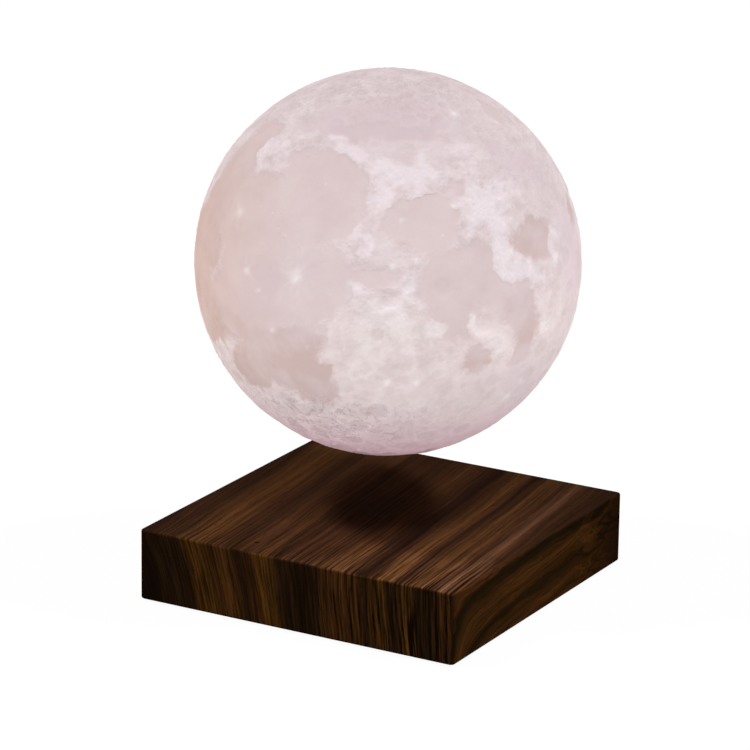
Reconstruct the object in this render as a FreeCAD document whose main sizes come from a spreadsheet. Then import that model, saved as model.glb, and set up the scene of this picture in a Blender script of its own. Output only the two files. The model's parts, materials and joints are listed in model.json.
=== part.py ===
import FreeCAD, Part

# Floating moon lamp: a square walnut base that holds a magnetic levitation module, and a hollow
# printed moon that hovers over it, spins freely, lifts off, and is lit through a pair of coils.
#
# Millimetres. The origin is on the table, under the middle of the base. +Z is up, -Y is the front
# face of the base and +Y its rear face, where the power inlet and the touch key are.

import math
import os

import Sketcher

doc = FreeCAD.newDocument("moon_lamp")

# ---------------------------------------------------------------------------------------------
# Driving dimensions
# ---------------------------------------------------------------------------------------------

SIZES = [
    # wooden housing
    ("base_side", 139.0, "side of the square base"),
    ("base_height", 28.4, "height of the wooden block"),
    ("corner_radius", 2.0, "rounding of the upright edges"),
    ("edge_radius", 0.8, "rounding of the top and bottom edges"),
    ("side_wall", 8.0, "wood left at the sides"),
    ("roof_thickness", 3.5, "wood left over the coils"),
    ("corner_post_radius", 14.0, "posts in the corners of the cavity, along each wall"),
    # bottom cover, its screws and the feet
    ("cover_ledge", 4.0, "width of the ledge that the cover seats on"),
    ("cover_thickness", 2.5, "bottom cover"),
    ("cover_gap", 0.3, "gap round the cover"),
    ("cover_screw_inset", 13.5, "cover screws, in from the sides of the base"),
    ("screw_radius", 1.5, "shank of the larger screws"),
    ("screw_head_radius", 3.0, "head of the larger screws"),
    ("screw_head_height", 1.7, "head of the larger screws"),
    ("screw_length", 12.0, "shank of a cover screw"),
    ("screw_play", 0.1, "radial play of any screw in its hole"),
    ("cross_length", 3.6, "cross recess, tip to tip"),
    ("cross_width", 0.7, "cross recess"),
    ("cross_depth", 1.0, "cross recess"),
    ("foot_radius", 6.0, "rubber foot"),
    ("foot_proud", 1.2, "how far a foot stands below the wood"),
    ("foot_recess", 0.8, "how deep a foot sits in the cover"),
    ("foot_inset", 24.5, "feet, in from the sides of the base"),
    ("foot_play", 0.2, "radial play of a foot in its recess"),
    ("vent_length", 18.0, "ventilation slot"),
    ("vent_width", 2.0, "ventilation slot"),
    ("vent_pitch", 6.0, "from slot to slot"),
    ("vent_offset", 28.0, "middle of a row of slots, from the middle of the base"),
    ("plate_recess_length", 44.0, "bare recess where a rating plate would be"),
    ("plate_recess_width", 22.0, "bare recess where a rating plate would be"),
    ("plate_recess_depth", 0.3, "bare recess where a rating plate would be"),
    # levitation module, stacked down from the roof
    ("coil_headroom", 0.3, "gap between the transmit coil and the roof"),
    ("transmit_coil_thickness", 1.6, "flat coil that sends power to the moon"),
    ("transmit_coil_inner", 18.0, "its inner radius"),
    ("transmit_coil_width", 20.0, "its radial width"),
    ("top_plate_thickness", 1.2, "plate over the magnets"),
    ("magnet_thickness", 10.0, "ring magnet, and the electromagnets inside it"),
    ("magnet_width", 15.0, "radial width of the ring magnet"),
    ("magnet_gap", 0.3, "gap between the ring magnet and the rims of its tray"),
    ("rim_wall", 1.4, "rims of the tray"),
    ("rim_height", 4.0, "rims of the tray"),
    ("tray_thickness", 2.0, "floor of the tray"),
    ("tray_margin", 2.0, "floor of the tray outside the outer rim"),
    ("board_thickness", 1.6, "circuit boards"),
    ("board_gap", 3.5, "gap between the control board and the walls"),
    ("board_corner_gap", 4.0, "gap between the control board and the corner posts"),
    ("post_radius", 3.5, "posts on the cover that carry the module"),
    ("post_spacing", 4.0, "gap between those posts and the outer rim"),
    ("module_screw_bite", 4.0, "how far a module screw goes into its post"),
    # electromagnets
    ("bobbin_radius", 10.0, "flanges of a bobbin"),
    ("bobbin_spacing", 5.0, "gap between two neighbouring bobbins"),
    ("bobbin_flange", 1.0, "thickness of a flange"),
    ("bobbin_wall", 1.0, "wall of the tube of a bobbin"),
    ("core_radius", 3.5, "steel core"),
    ("core_play", 0.1, "radial play of the core, and of the winding on the tube"),
    ("winding_inset", 0.8, "winding, in from the rim of the flanges"),
    ("pin_radius", 0.4, "terminal pins"),
    ("pin_length", 1.6, "terminal pins, below the board"),
    # position sensors
    ("sensor_block_side", 7.0, "plastic block between the electromagnets"),
    ("sensor_block_height", 6.0, "plastic block between the electromagnets"),
    ("sensor_length", 4.0, "position sensor"),
    ("sensor_width", 3.0, "position sensor"),
    ("sensor_thickness", 1.5, "position sensor"),
    # parts on the control board
    ("chip_length", 10.0, "driver chip"),
    ("chip_width", 6.0, "driver chip"),
    ("chip_height", 1.6, "driver chip"),
    ("chip_offset", 20.0, "driver chips, sideways from the axis"),
    ("controller_side", 9.0, "controller chip"),
    ("controller_height", 1.2, "controller chip"),
    ("capacitor_radius", 4.0, "capacitor"),
    ("capacitor_height", 9.0, "capacitor"),
    ("inductor_radius", 4.5, "power inductor"),
    ("inductor_height", 6.0, "power inductor"),
    ("tall_part_inset", 5.5, "capacitors and inductor, in from the edge of the board"),
    ("tall_part_offset", 32.0, "capacitors and inductor, along the edge from its middle"),
    ("lead_radius", 0.6, "lead of the transmit coil"),
    ("lead_bend", 3.0, "bend of that lead"),
    ("lead_spacing", 2.4, "between the two leads"),
    ("lead_gap", 0.4, "gap between the leads and what they pass"),
    # power inlet and touch key, on the rear face
    ("inlet_offset", 30.0, "inlet and key, sideways from the middle of the rear face"),
    ("inlet_hole_radius", 5.5, "hole in the wood that the plug passes through"),
    ("jack_width", 9.0, "body of the inlet"),
    ("jack_depth", 12.0, "body of the inlet"),
    ("jack_height", 11.0, "body of the inlet"),
    ("jack_axis_height", 6.5, "socket's axis over the board"),
    ("jack_gap", 0.3, "gap between the inlet and the wood"),
    ("socket_radius", 3.2, "socket of the inlet"),
    ("socket_depth", 9.5, "socket of the inlet"),
    ("contact_pin_radius", 1.0, "centre pin of the socket"),
    ("contact_pin_recess", 1.0, "tip of the pin behind the mouth of the socket"),
    ("key_radius", 5.0, "head of the touch key"),
    ("key_proud", 0.4, "how far the key stands out of the wood"),
    ("key_recess", 1.2, "how deep its head sits in the wood"),
    ("key_stem_radius", 1.5, "stem of the touch key"),
    ("key_play", 0.1, "radial play of the key in its hole"),
    ("contact_thickness", 0.4, "metal strip that touches the stem"),
    ("contact_width", 4.0, "metal strip that touches the stem"),
    ("contact_foot", 5.0, "foot of the strip on the board"),
    # moon
    ("hover_gap", 26.5, "air under the moon"),
    ("moon_diameter", 150.0, "moon"),
    ("moon_wall", 1.8, "wall of the moon"),
    ("collar_wall", 2.0, "collar round the service opening in the underside"),
    ("cap_gap", 0.2, "radial gap between the cap and the collar"),
    ("cap_wall", 1.8, "upright wall of the cap"),
    ("cap_rim", 0.8, "seat of the receiver coil over the edge of the cap"),
    ("lip_height", 1.5, "lip of the collar that stops the cap"),
    ("cap_skin", 1.3, "thinnest plastic under the floating magnet"),
    ("spigot_height", 7.0, "upright wall of the cap, over that seat"),
    ("crater_depth", 0.6, "depth of the widest craters"),
    # floating magnet and what is screwed over it
    ("float_magnet_radius", 20.0, "floating magnet"),
    ("float_magnet_thickness", 8.0, "floating magnet"),
    ("float_magnet_play", 0.3, "play round the floating magnet"),
    ("pocket_wall", 1.5, "wall round the floating magnet"),
    ("boss_radius", 2.5, "screw boss in the cap"),
    ("boss_inset", 2.4, "middle of a boss, in from the upright wall"),
    ("receiver_coil_width", 3.7, "coil that takes power from the base"),
    ("receiver_coil_thickness", 2.0, "coil that takes power from the base"),
    ("receiver_coil_gap", 0.3, "gap on each side of that coil"),
    ("retainer_thickness", 1.5, "plate that keeps the floating magnet in"),
    ("disc_gap", 0.2, "gap between the round plates and the wall of the cap"),
    ("spacer_height", 4.0, "between the plate and the receiver board"),
    ("spacer_radius", 2.0, "spacer"),
    ("small_screw_radius", 1.0, "shank of the smaller screws"),
    ("small_head_radius", 1.9, "head of the smaller screws"),
    ("small_head_height", 1.3, "head of the smaller screws"),
    ("small_screw_bite", 3.0, "how far a smaller screw goes into plastic"),
    ("rectifier_length", 6.0, "rectifier chip"),
    ("rectifier_width", 5.0, "rectifier chip"),
    ("rectifier_height", 1.5, "rectifier chip"),
    ("rectifier_offset", 18.0, "rectifier and storage capacitor, from the axis"),
    ("storage_radius", 3.2, "storage capacitor"),
    ("storage_height", 5.5, "storage capacitor"),
    # lights
    ("led_board_radius", 20.0, "board of the lights"),
    ("led_board_thickness", 1.2, "board of the lights"),
    ("led_post_height", 8.0, "posts under that board"),
    ("led_post_radius", 2.0, "posts under that board"),
    ("led_post_circle", 8.0, "posts, from the axis"),
    ("led_side", 3.5, "one light"),
    ("led_height", 1.2, "one light"),
    ("led_circle", 14.0, "lights, from the axis"),
    ("dome_wall", 1.2, "frosted dome over the lights"),
    ("dome_inset", 0.3, "dome, in from the edge of its board"),
]

sheet = doc.addObject("Spreadsheet::Sheet", "sizes")
for row, (alias, size, meaning) in enumerate(SIZES, start=1):
    sheet.set(f"A{row}", meaning)
    sheet.set(f"B{row}", str(size))
    sheet.setAlias(f"B{row}", alias)
doc.recompute()

CAP_BOSSES = 3
LIGHTS = 12
VENT_SLOTS = 7

# Craters that show from a step away: latitude and longitude in degrees, and the radius of the rim
# in degrees of the moon. The first block is the side that faces the viewer.
CRATERS = [
    (-58.4, -14.4, 3.8), (-43.3, -11.2, 1.7), (-49.6, -6.3, 3.0), (-44.4, -54.6, 3.7),
    (-9.3, -1.9, 2.6), (-32.5, 5.0, 3.6), (-25.3, 60.4, 3.0), (-8.9, 61.1, 2.2),
    (-44.9, 40.8, 3.2), (-11.4, 26.4, 1.8), (-18.0, 23.6, 1.8), (-17.5, -39.9, 1.9),
    (-5.5, -68.3, 2.9), (9.6, -20.1, 1.6), (29.7, -4.0, 1.5), (51.6, -9.4, 1.7),
    (50.2, 17.4, 1.5), (31.8, 29.9, 1.6), (53.6, 56.5, 2.1), (27.7, 55.5, 2.1),
    (63.5, -62.8, 2.4),
    # the side that faces away
    (2.6, -129.2, 4.5), (-4.0, -157.4, 4.5), (5.7, 140.9, 4.4), (-20.2, 149.2, 4.2),
    (-36.0, -151.0, 4.5), (-20.4, 129.1, 3.0), (-31.4, 112.2, 4.0), (58.7, -146.1, 4.4),
    (32.6, -95.3, 4.2), (45.3, 151.4, 3.6), (41.6, -118.1, 3.5), (-57.0, 137.0, 4.3),
    (18.0, -165.0, 2.0), (25.0, 105.0, 2.6), (-47.0, -105.0, 3.0),
]
WIDEST_CRATER = max(rim for latitude, longitude, rim in CRATERS)
# A crater's cutting piece stands this much taller than the crater is deep.
CRATER_TOOL_HEIGHT = 1.3
# Turn of the moon about its axis at rest: the bearing of its zero meridian from +X, in degrees.
ZERO_MERIDIAN = -68.3

# ---------------------------------------------------------------------------------------------
# Places worked out from the driving dimensions, as expressions
# ---------------------------------------------------------------------------------------------

UNDERSIDE = "sizes.foot_proud"
BASE_TOP = "(sizes.foot_proud + sizes.base_height)"
BASE_HALF = "(sizes.base_side / 2)"
CAVITY_HALF = f"({BASE_HALF} - sizes.side_wall)"
REBATE_HALF = f"({CAVITY_HALF} + sizes.cover_ledge)"
COVER_HALF = f"({REBATE_HALF} - sizes.cover_gap)"
COVER_TOP = "(sizes.foot_proud + sizes.cover_thickness)"
COVER_SCREW_PLACE = f"({BASE_HALF} - sizes.cover_screw_inset)"
SCREW_HOLE = "(sizes.screw_radius + sizes.screw_play)"
FOOT_PLACE = f"({BASE_HALF} - sizes.foot_inset)"

ROOF = f"({BASE_TOP} - sizes.roof_thickness)"
TRANSMIT_COIL_BOTTOM = f"({ROOF} - sizes.coil_headroom - sizes.transmit_coil_thickness)"
TOP_PLATE_BOTTOM = f"({TRANSMIT_COIL_BOTTOM} - sizes.top_plate_thickness)"
TRAY_TOP = f"({TOP_PLATE_BOTTOM} - sizes.magnet_thickness)"
BOARD_TOP = f"({TRAY_TOP} - sizes.tray_thickness)"
BOARD_BOTTOM = f"({BOARD_TOP} - sizes.board_thickness)"
BOARD_HALF = f"({CAVITY_HALF} - sizes.board_gap)"
COIL_HEIGHT = f"({TOP_PLATE_BOTTOM} - {BOARD_TOP})"

COIL_PLACE = "(sizes.bobbin_radius + sizes.bobbin_spacing / 2)"
INNER_RIM_INSIDE = f"({COIL_PLACE} * sqrt(2) + sizes.bobbin_radius + 2 * sizes.magnet_gap)"
MAGNET_INSIDE = f"({INNER_RIM_INSIDE} + sizes.rim_wall + sizes.magnet_gap)"
MAGNET_OUTSIDE = f"({MAGNET_INSIDE} + sizes.magnet_width)"
OUTER_RIM_INSIDE = f"({MAGNET_OUTSIDE} + sizes.magnet_gap)"
OUTER_RIM_OUTSIDE = f"({OUTER_RIM_INSIDE} + sizes.rim_wall)"
TRAY_RADIUS = f"({OUTER_RIM_OUTSIDE} + sizes.tray_margin)"
POST_PLACE = f"(({OUTER_RIM_OUTSIDE} + sizes.post_radius + sizes.post_spacing) / sqrt(2))"

JACK_AXIS = f"({BOARD_TOP} + sizes.jack_axis_height)"
JACK_FRONT = f"({CAVITY_HALF} - sizes.jack_gap)"
KEY_STEM_END = BOARD_HALF

MOON_RADIUS = "(sizes.moon_diameter / 2)"
MOON_CENTRE = f"({BASE_TOP} + sizes.hover_gap + {MOON_RADIUS})"
MOON_LOWEST = f"({MOON_CENTRE} - {MOON_RADIUS})"

# From the floating magnet outwards: pocket, receiver coil, bosses, wall of the cap, opening.
POCKET_RADIUS = "(sizes.float_magnet_radius + sizes.float_magnet_play)"
POCKET_OUTSIDE = f"({POCKET_RADIUS} + sizes.pocket_wall)"
RECEIVER_COIL_INSIDE = f"({POCKET_OUTSIDE} + sizes.receiver_coil_gap)"
RECEIVER_COIL_OUTSIDE = f"({RECEIVER_COIL_INSIDE} + sizes.receiver_coil_width)"
BOSS_CIRCLE = f"({RECEIVER_COIL_OUTSIDE} + sizes.receiver_coil_gap + sizes.boss_radius)"
CAP_INSIDE = f"({BOSS_CIRCLE} + sizes.boss_inset)"
CAP_RADIUS = f"({CAP_INSIDE} + sizes.cap_wall)"
OPENING_RADIUS = f"({CAP_RADIUS} + sizes.cap_gap)"
LIP_INSIDE = f"({CAP_INSIDE} + sizes.disc_gap)"
DISC_RADIUS = f"({CAP_INSIDE} - sizes.disc_gap)"

# From the skin of the ball upwards.
CAP_EDGE = f"({MOON_CENTRE} - sqrt({MOON_RADIUS} ^ 2 - {CAP_RADIUS} ^ 2))"
COIL_SEAT = f"({CAP_EDGE} + sizes.cap_rim)"
CAP_TOP = f"({COIL_SEAT} + sizes.spigot_height)"
POCKET_EDGE = f"({MOON_CENTRE} - sqrt({MOON_RADIUS} ^ 2 - {POCKET_RADIUS} ^ 2))"
MAGNET_SEAT = f"({POCKET_EDGE} + sizes.cap_skin)"
RETAINER_BOTTOM = f"({MAGNET_SEAT} + sizes.float_magnet_thickness + 2 * sizes.float_magnet_play)"
RETAINER_TOP = f"({RETAINER_BOTTOM} + sizes.retainer_thickness)"
RECEIVER_BOTTOM = f"({RETAINER_TOP} + sizes.spacer_height)"
RECEIVER_TOP = f"({RECEIVER_BOTTOM} + sizes.board_thickness)"
SMALL_HOLE = "(sizes.small_screw_radius + sizes.screw_play)"
LED_BOARD_BOTTOM = f"({RECEIVER_TOP} + sizes.led_post_height)"
LED_BOARD_TOP = f"({LED_BOARD_BOTTOM} + sizes.led_board_thickness)"
DOME_RADIUS = "(sizes.led_board_radius - sizes.dome_inset)"

# ---------------------------------------------------------------------------------------------
# Small helpers
# ---------------------------------------------------------------------------------------------

X_AXIS = FreeCAD.Vector(1, 0, 0)
Y_AXIS = FreeCAD.Vector(0, 1, 0)
Z_AXIS = FreeCAD.Vector(0, 0, 1)
TOWARDS_REAR = FreeCAD.Rotation(X_AXIS, -90)
ORIGIN_POINT = (-1, 1)
POINT_OF = {"start": 1, "end": 2, "centre": 3}
subparts = []


def value(expression):
    """The number that an expression of the sizes comes to."""
    return float(sheet.evalExpression(expression))


def bind(item, **properties):
    """Ties properties of an object to expressions."""
    for name, expression in properties.items():
        item.setExpression(name, expression)
    return item


def place(item, x="0", y="0", z="0"):
    """Ties an object's place to expressions."""
    for axis, expression in zip("xyz", (x, y, z)):
        item.setExpression(f"Placement.Base.{axis}", expression)
    return item


def subpart(item, label):
    """Marks an object as a finished piece of the lamp."""
    item.Label = label
    subparts.append(item)
    return item


def cylinder(name, radius, height, x="0", y="0", z="0"):
    item = doc.addObject("Part::Cylinder", name)
    return place(bind(item, Radius=radius, Height=height), x, y, z)


def box(name, length, width, height, x="0", y="0", z="0"):
    """A box whose footprint is centred on x and y, and which stands on z."""
    item = doc.addObject("Part::Box", name)
    bind(item, Length=length, Width=width, Height=height)
    return place(item, f"{x} - {length} / 2", f"{y} - {width} / 2", z)


def sphere(name, radius):
    """A whole sphere about the middle of the moon."""
    return place(bind(doc.addObject("Part::Sphere", name), Radius=radius), z=MOON_CENTRE)


def cut(name, base, tool):
    item = doc.addObject("Part::Cut", name)
    item.Base, item.Tool = base, tool
    return item


def joined(kind, name, items):
    """Several objects as one: Part::MultiFuse, Part::MultiCommon or Part::Compound."""
    item = doc.addObject(kind, name)
    if kind == "Part::Compound":
        item.Links = items
    else:
        item.Shapes = items
    return item


def ring(name, outside, inside, height, z, x="0", y="0"):
    """A flat ring with a square section."""
    outer = cylinder(f"{name}_outer", outside, height, x, y, z)
    inner = cylinder(f"{name}_inner", inside, height, x, y, z)
    return cut(name, outer, inner)


def on_circle(radius, count, index, start=0):
    """x and y expressions of one of several equal places round the upright axis."""
    angle = start + 360 * index / count
    return f"{radius} * cos({angle})", f"{radius} * sin({angle})"


def corners(reach):
    """x and y expressions of the four corners of a centred square."""
    signs = ((1, 1), (-1, 1), (-1, -1), (1, -1))
    return [(f"{sx} * {reach}", f"{sy} * {reach}") for sx, sy in signs]


def new_body(name):
    return doc.addObject("PartDesign::Body", name)


def sketch_on(body, name, role="XY_Plane", offset="0"):
    """An empty sketch on one of the body's own origin planes, moved along the plane's normal."""
    sketch = body.newObject("Sketcher::SketchObject", name)
    plane = next(item for item in body.Origin.OriginFeatures if item.Role == role)
    sketch.AttachmentSupport = [(plane, "")]
    sketch.MapMode = "FlatFace"
    return bind(sketch, **{"AttachmentOffset.Base.z": offset})


def constrain(sketch, expression, kind, *where):
    """Adds a dimension to a sketch and ties it to an expression."""
    index = sketch.addConstraint(Sketcher.Constraint(kind, *where, value(expression)))
    sketch.setExpression(f"Constraints[{index}]", expression)


def pin_point(sketch, geometry, point, x, y):
    constrain(sketch, x, "DistanceX", *ORIGIN_POINT, geometry, POINT_OF[point])
    constrain(sketch, y, "DistanceY", *ORIGIN_POINT, geometry, POINT_OF[point])


def draw_polygon(sketch, points):
    """A closed outline through points that are given as x and y expressions."""
    places = [FreeCAD.Vector(value(x), value(y), 0) for x, y in points]
    first = sketch.GeometryCount
    for start, end in zip(places, places[1:] + places[:1]):
        sketch.addGeometry(Part.LineSegment(start, end))
    for index, (x, y) in enumerate(points):
        following = first + (index + 1) % len(points)
        ends = (first + index, POINT_OF["end"], following, POINT_OF["start"])
        sketch.addConstraint(Sketcher.Constraint("Coincident", *ends))
        pin_point(sketch, first + index, "start", x, y)


def draw_rectangle(sketch, half_x, half_y, x="0", y="0"):
    draw_polygon(sketch, [
        (f"{x} - {half_x}", f"{y} - {half_y}"), (f"{x} + {half_x}", f"{y} - {half_y}"),
        (f"{x} + {half_x}", f"{y} + {half_y}"), (f"{x} - {half_x}", f"{y} + {half_y}"),
    ])


def draw_circle(sketch, radius, x="0", y="0"):
    centre = FreeCAD.Vector(value(x), value(y), 0)
    geometry = sketch.addGeometry(Part.Circle(centre, Z_AXIS, value(radius)))
    pin_point(sketch, geometry, "centre", x, y)
    constrain(sketch, radius, "Radius", geometry)


def pad(body, sketch, length, name):
    feature = body.newObject("PartDesign::Pad", name)
    feature.Profile = sketch
    return bind(feature, Length=length)


def pocket(body, sketch, length, name, forward=False):
    """Cuts back from the sketch, or forward along its normal, and makes sure that it did cut."""
    before = body.Shape.Volume
    feature = body.newObject("PartDesign::Pocket", name)
    feature.Profile = sketch
    feature.Reversed = forward
    bind(feature, Length=length)
    doc.recompute()
    if not body.Shape.Volume < before:
        raise RuntimeError(f"{name} removes nothing")
    return feature


def four_times(body, feature, name):
    """Repeats a feature at the four corners."""
    pattern = body.newObject("PartDesign::PolarPattern", name)
    axis = next(item for item in body.Origin.OriginFeatures if item.Role == "Z_Axis")
    pattern.Originals = [feature]
    pattern.Axis = (axis, [""])
    pattern.Angle = 360
    pattern.Occurrences = 4
    body.Tip = pattern
    doc.recompute()
    return pattern


def edges_where(feature, test):
    """Names of the edges whose ends all pass a test."""
    edges = enumerate(feature.Shape.Edges, start=1)
    return [f"Edge{n}" for n, edge in edges if all(test(v.Point) for v in edge.Vertexes)]


# ---------------------------------------------------------------------------------------------
# Screws
# ---------------------------------------------------------------------------------------------


def cross_recess(name, x, y, z):
    """The two crossed blades that a driver bit leaves in a screw head."""
    long, thin, deep = "sizes.cross_length", "sizes.cross_width", "sizes.cross_depth"
    blades = [
        box(f"{name}_blade_a", long, thin, deep, x, y, z),
        box(f"{name}_blade_b", thin, long, deep, x, y, z),
    ]
    return joined("Part::MultiFuse", f"{name}_cross", blades)


def countersunk_screw(name, x, y, z, shank):
    """Head flat at z and facing down, shank pointing up."""
    head = place(doc.addObject("Part::Cone", f"{name}_head"), x, y, z)
    bind(head, Radius1="sizes.screw_head_radius", Radius2="sizes.screw_radius")
    bind(head, Height="sizes.screw_head_height")
    stem = cylinder(f"{name}_stem", "sizes.screw_radius", shank, x, y, z)
    solid = joined("Part::MultiFuse", f"{name}_solid", [head, stem])
    return cut(name, solid, cross_recess(name, x, y, z))


def pan_screw(name, x, y, z, shank, radius, head_radius, head_height):
    """Underside of the head at z, shank pointing down."""
    head = cylinder(f"{name}_head", head_radius, head_height, x, y, z)
    stem = cylinder(f"{name}_stem", radius, shank, x, y, f"{z} - {shank}")
    return joined("Part::MultiFuse", name, [head, stem])


# ---------------------------------------------------------------------------------------------
# Wooden housing, bottom cover and feet
# ---------------------------------------------------------------------------------------------


def make_base_housing():
    """A block of walnut, hollowed from below, with a hole for the plug and one for the touch key."""
    body = new_body("base_housing")
    outline = sketch_on(body, "housing_outline", offset=UNDERSIDE)
    draw_rectangle(outline, BASE_HALF, BASE_HALF)
    block = pad(body, outline, "sizes.base_height", "housing_block")
    doc.recompute()

    low, high = value(UNDERSIDE), value(BASE_TOP)
    tiny = 1e-4
    upright = [
        f"Edge{n}" for n, e in enumerate(block.Shape.Edges, start=1)
        if abs(e.Vertexes[0].Z - e.Vertexes[1].Z) > high - low - tiny
    ]
    rounded = body.newObject("PartDesign::Fillet", "housing_corners")
    rounded.Base = (block, upright)
    bind(rounded, Radius="sizes.corner_radius")
    doc.recompute()

    rims = edges_where(rounded, lambda p: abs(p.z - high) < tiny)
    rims += edges_where(rounded, lambda p: abs(p.z - low) < tiny)
    eased = body.newObject("PartDesign::Fillet", "housing_edges")
    eased.Base = (rounded, rims)
    bind(eased, Radius="sizes.edge_radius")
    doc.recompute()

    rebate = sketch_on(body, "housing_rebate_outline", offset=UNDERSIDE)
    draw_rectangle(rebate, REBATE_HALF, REBATE_HALF)
    pocket(body, rebate, "sizes.cover_thickness", "housing_rebate", forward=True)

    cavity = sketch_on(body, "housing_cavity_outline", offset=COVER_TOP)
    draw_rectangle(cavity, CAVITY_HALF, CAVITY_HALF)
    pocket(body, cavity, f"{ROOF} - {COVER_TOP}", "housing_cavity", forward=True)

    posts = sketch_on(body, "housing_post_outline", offset=COVER_TOP)
    in_wall = f"({CAVITY_HALF} + sizes.cover_ledge / 2)"
    reach = f"({CAVITY_HALF} - sizes.corner_post_radius)"
    chamfer = f"({CAVITY_HALF} - sizes.corner_post_radius / 3)"
    draw_polygon(posts, [
        (in_wall, in_wall), (reach, in_wall), (reach, chamfer), (chamfer, reach), (in_wall, reach),
    ])
    post = pad(body, posts, f"{ROOF} - {COVER_TOP} + sizes.roof_thickness / 2", "housing_post")
    four_times(body, post, "housing_posts")

    pilot = sketch_on(body, "housing_pilot_outline", offset=COVER_TOP)
    draw_circle(pilot, SCREW_HOLE, COVER_SCREW_PLACE, COVER_SCREW_PLACE)
    hole = pocket(body, pilot, "sizes.screw_length", "housing_pilot", forward=True)
    four_times(body, hole, "housing_pilots")

    # The normal of this plane points to -Y, so the rear face is at minus half the side.
    inlet = sketch_on(body, "housing_inlet_outline", role="XZ_Plane", offset=f"-{BASE_HALF}")
    draw_circle(inlet, "sizes.inlet_hole_radius", "sizes.inlet_offset", JACK_AXIS)
    pocket(body, inlet, "sizes.side_wall", "housing_inlet", forward=True)
    seat = sketch_on(body, "housing_key_seat_outline", role="XZ_Plane", offset=f"-{BASE_HALF}")
    draw_circle(seat, "sizes.key_radius + sizes.key_play", "-sizes.inlet_offset", JACK_AXIS)
    pocket(body, seat, "sizes.key_recess", "housing_key_seat", forward=True)
    stem = sketch_on(body, "housing_key_hole_outline", role="XZ_Plane", offset=f"-{BASE_HALF}")
    draw_circle(stem, "sizes.key_stem_radius + sizes.key_play", "-sizes.inlet_offset", JACK_AXIS)
    pocket(body, stem, "sizes.side_wall", "housing_key_hole", forward=True)
    return subpart(body, "base_housing")


def make_bottom_cover():
    """Plastic cover that closes the base, with the posts that carry the levitation module."""
    body = new_body("bottom_cover")
    outline = sketch_on(body, "cover_outline", offset=UNDERSIDE)
    draw_rectangle(outline, COVER_HALF, COVER_HALF)
    pad(body, outline, "sizes.cover_thickness", "cover_plate")

    post_outline = sketch_on(body, "cover_post_outline", offset=COVER_TOP)
    draw_circle(post_outline, "sizes.post_radius", POST_PLACE, POST_PLACE)
    post = pad(body, post_outline, f"{BOARD_BOTTOM} - {COVER_TOP}", "cover_post")
    four_times(body, post, "cover_posts")

    thread = sketch_on(body, "cover_thread_outline", offset=BOARD_BOTTOM)
    draw_circle(thread, SCREW_HOLE, POST_PLACE, POST_PLACE)
    bore = pocket(body, thread, "sizes.module_screw_bite + sizes.screw_play", "cover_thread")
    four_times(body, bore, "cover_threads")

    foot_seat = sketch_on(body, "cover_foot_outline", offset=UNDERSIDE)
    draw_circle(foot_seat, "sizes.foot_radius + sizes.foot_play", FOOT_PLACE, FOOT_PLACE)
    seat = pocket(body, foot_seat, "sizes.foot_recess", "cover_foot_seat", forward=True)
    four_times(body, seat, "cover_foot_seats")

    hole_outline = sketch_on(body, "cover_hole_outline", offset=UNDERSIDE)
    draw_circle(hole_outline, SCREW_HOLE, COVER_SCREW_PLACE, COVER_SCREW_PLACE)
    doc.recompute()
    before = body.Shape.Volume
    hole = body.newObject("PartDesign::Hole", "cover_hole")
    hole.Profile = hole_outline
    hole.Reversed = True
    hole.DepthType = "ThroughAll"
    hole.HoleCutType = "Countersink"
    bind(hole, Diameter=f"2 * {SCREW_HOLE}")
    bind(hole, HoleCutDiameter="2 * (sizes.screw_head_radius + sizes.screw_play)")
    flare = "2 * atan((sizes.screw_head_radius - sizes.screw_radius) / sizes.screw_head_height)"
    bind(hole, HoleCutCountersinkAngle=flare)
    doc.recompute()
    if not body.Shape.Volume < before:
        raise RuntimeError("the countersunk hole removes nothing")
    four_times(body, hole, "cover_holes")

    slots = sketch_on(body, "cover_vent_outline", offset=UNDERSIDE)
    first = f"-{(VENT_SLOTS - 1) / 2} * sizes.vent_pitch"
    for row_place in ("sizes.vent_offset", "-sizes.vent_offset"):
        draw_rectangle(slots, "sizes.vent_width / 2", "sizes.vent_length / 2", first, row_place)
    slot = pocket(body, slots, "sizes.cover_thickness", "cover_vent", forward=True)
    row = body.newObject("PartDesign::LinearPattern", "cover_vents")
    row.Originals = [slot]
    row.Direction = (next(item for item in body.Origin.OriginFeatures if item.Role == "X_Axis"), [""])
    bind(row, Length=f"{VENT_SLOTS - 1} * sizes.vent_pitch")
    row.Occurrences = VENT_SLOTS
    body.Tip = row
    doc.recompute()

    plate = sketch_on(body, "cover_plate_recess_outline", offset=UNDERSIDE)
    draw_rectangle(plate, "sizes.plate_recess_length / 2", "sizes.plate_recess_width / 2")
    pocket(body, plate, "sizes.plate_recess_depth", "cover_plate_recess", forward=True)
    return subpart(body, "bottom_cover")


def make_cover_screws():
    shank = "sizes.screw_length"
    screws = [
        countersunk_screw(f"cover_screw_{n}", x, y, UNDERSIDE, shank)
        for n, (x, y) in enumerate(corners(COVER_SCREW_PLACE), start=1)
    ]
    return subpart(joined("Part::Compound", "cover_screws", screws), "cover_screws")


def make_rubber_feet():
    height = "sizes.foot_proud + sizes.foot_recess"
    feet = [
        cylinder(f"foot_{n}", "sizes.foot_radius", height, x, y)
        for n, (x, y) in enumerate(corners(FOOT_PLACE), start=1)
    ]
    return subpart(joined("Part::Compound", "rubber_feet", feet), "rubber_feet")


# ---------------------------------------------------------------------------------------------
# Levitation module
# ---------------------------------------------------------------------------------------------


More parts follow.
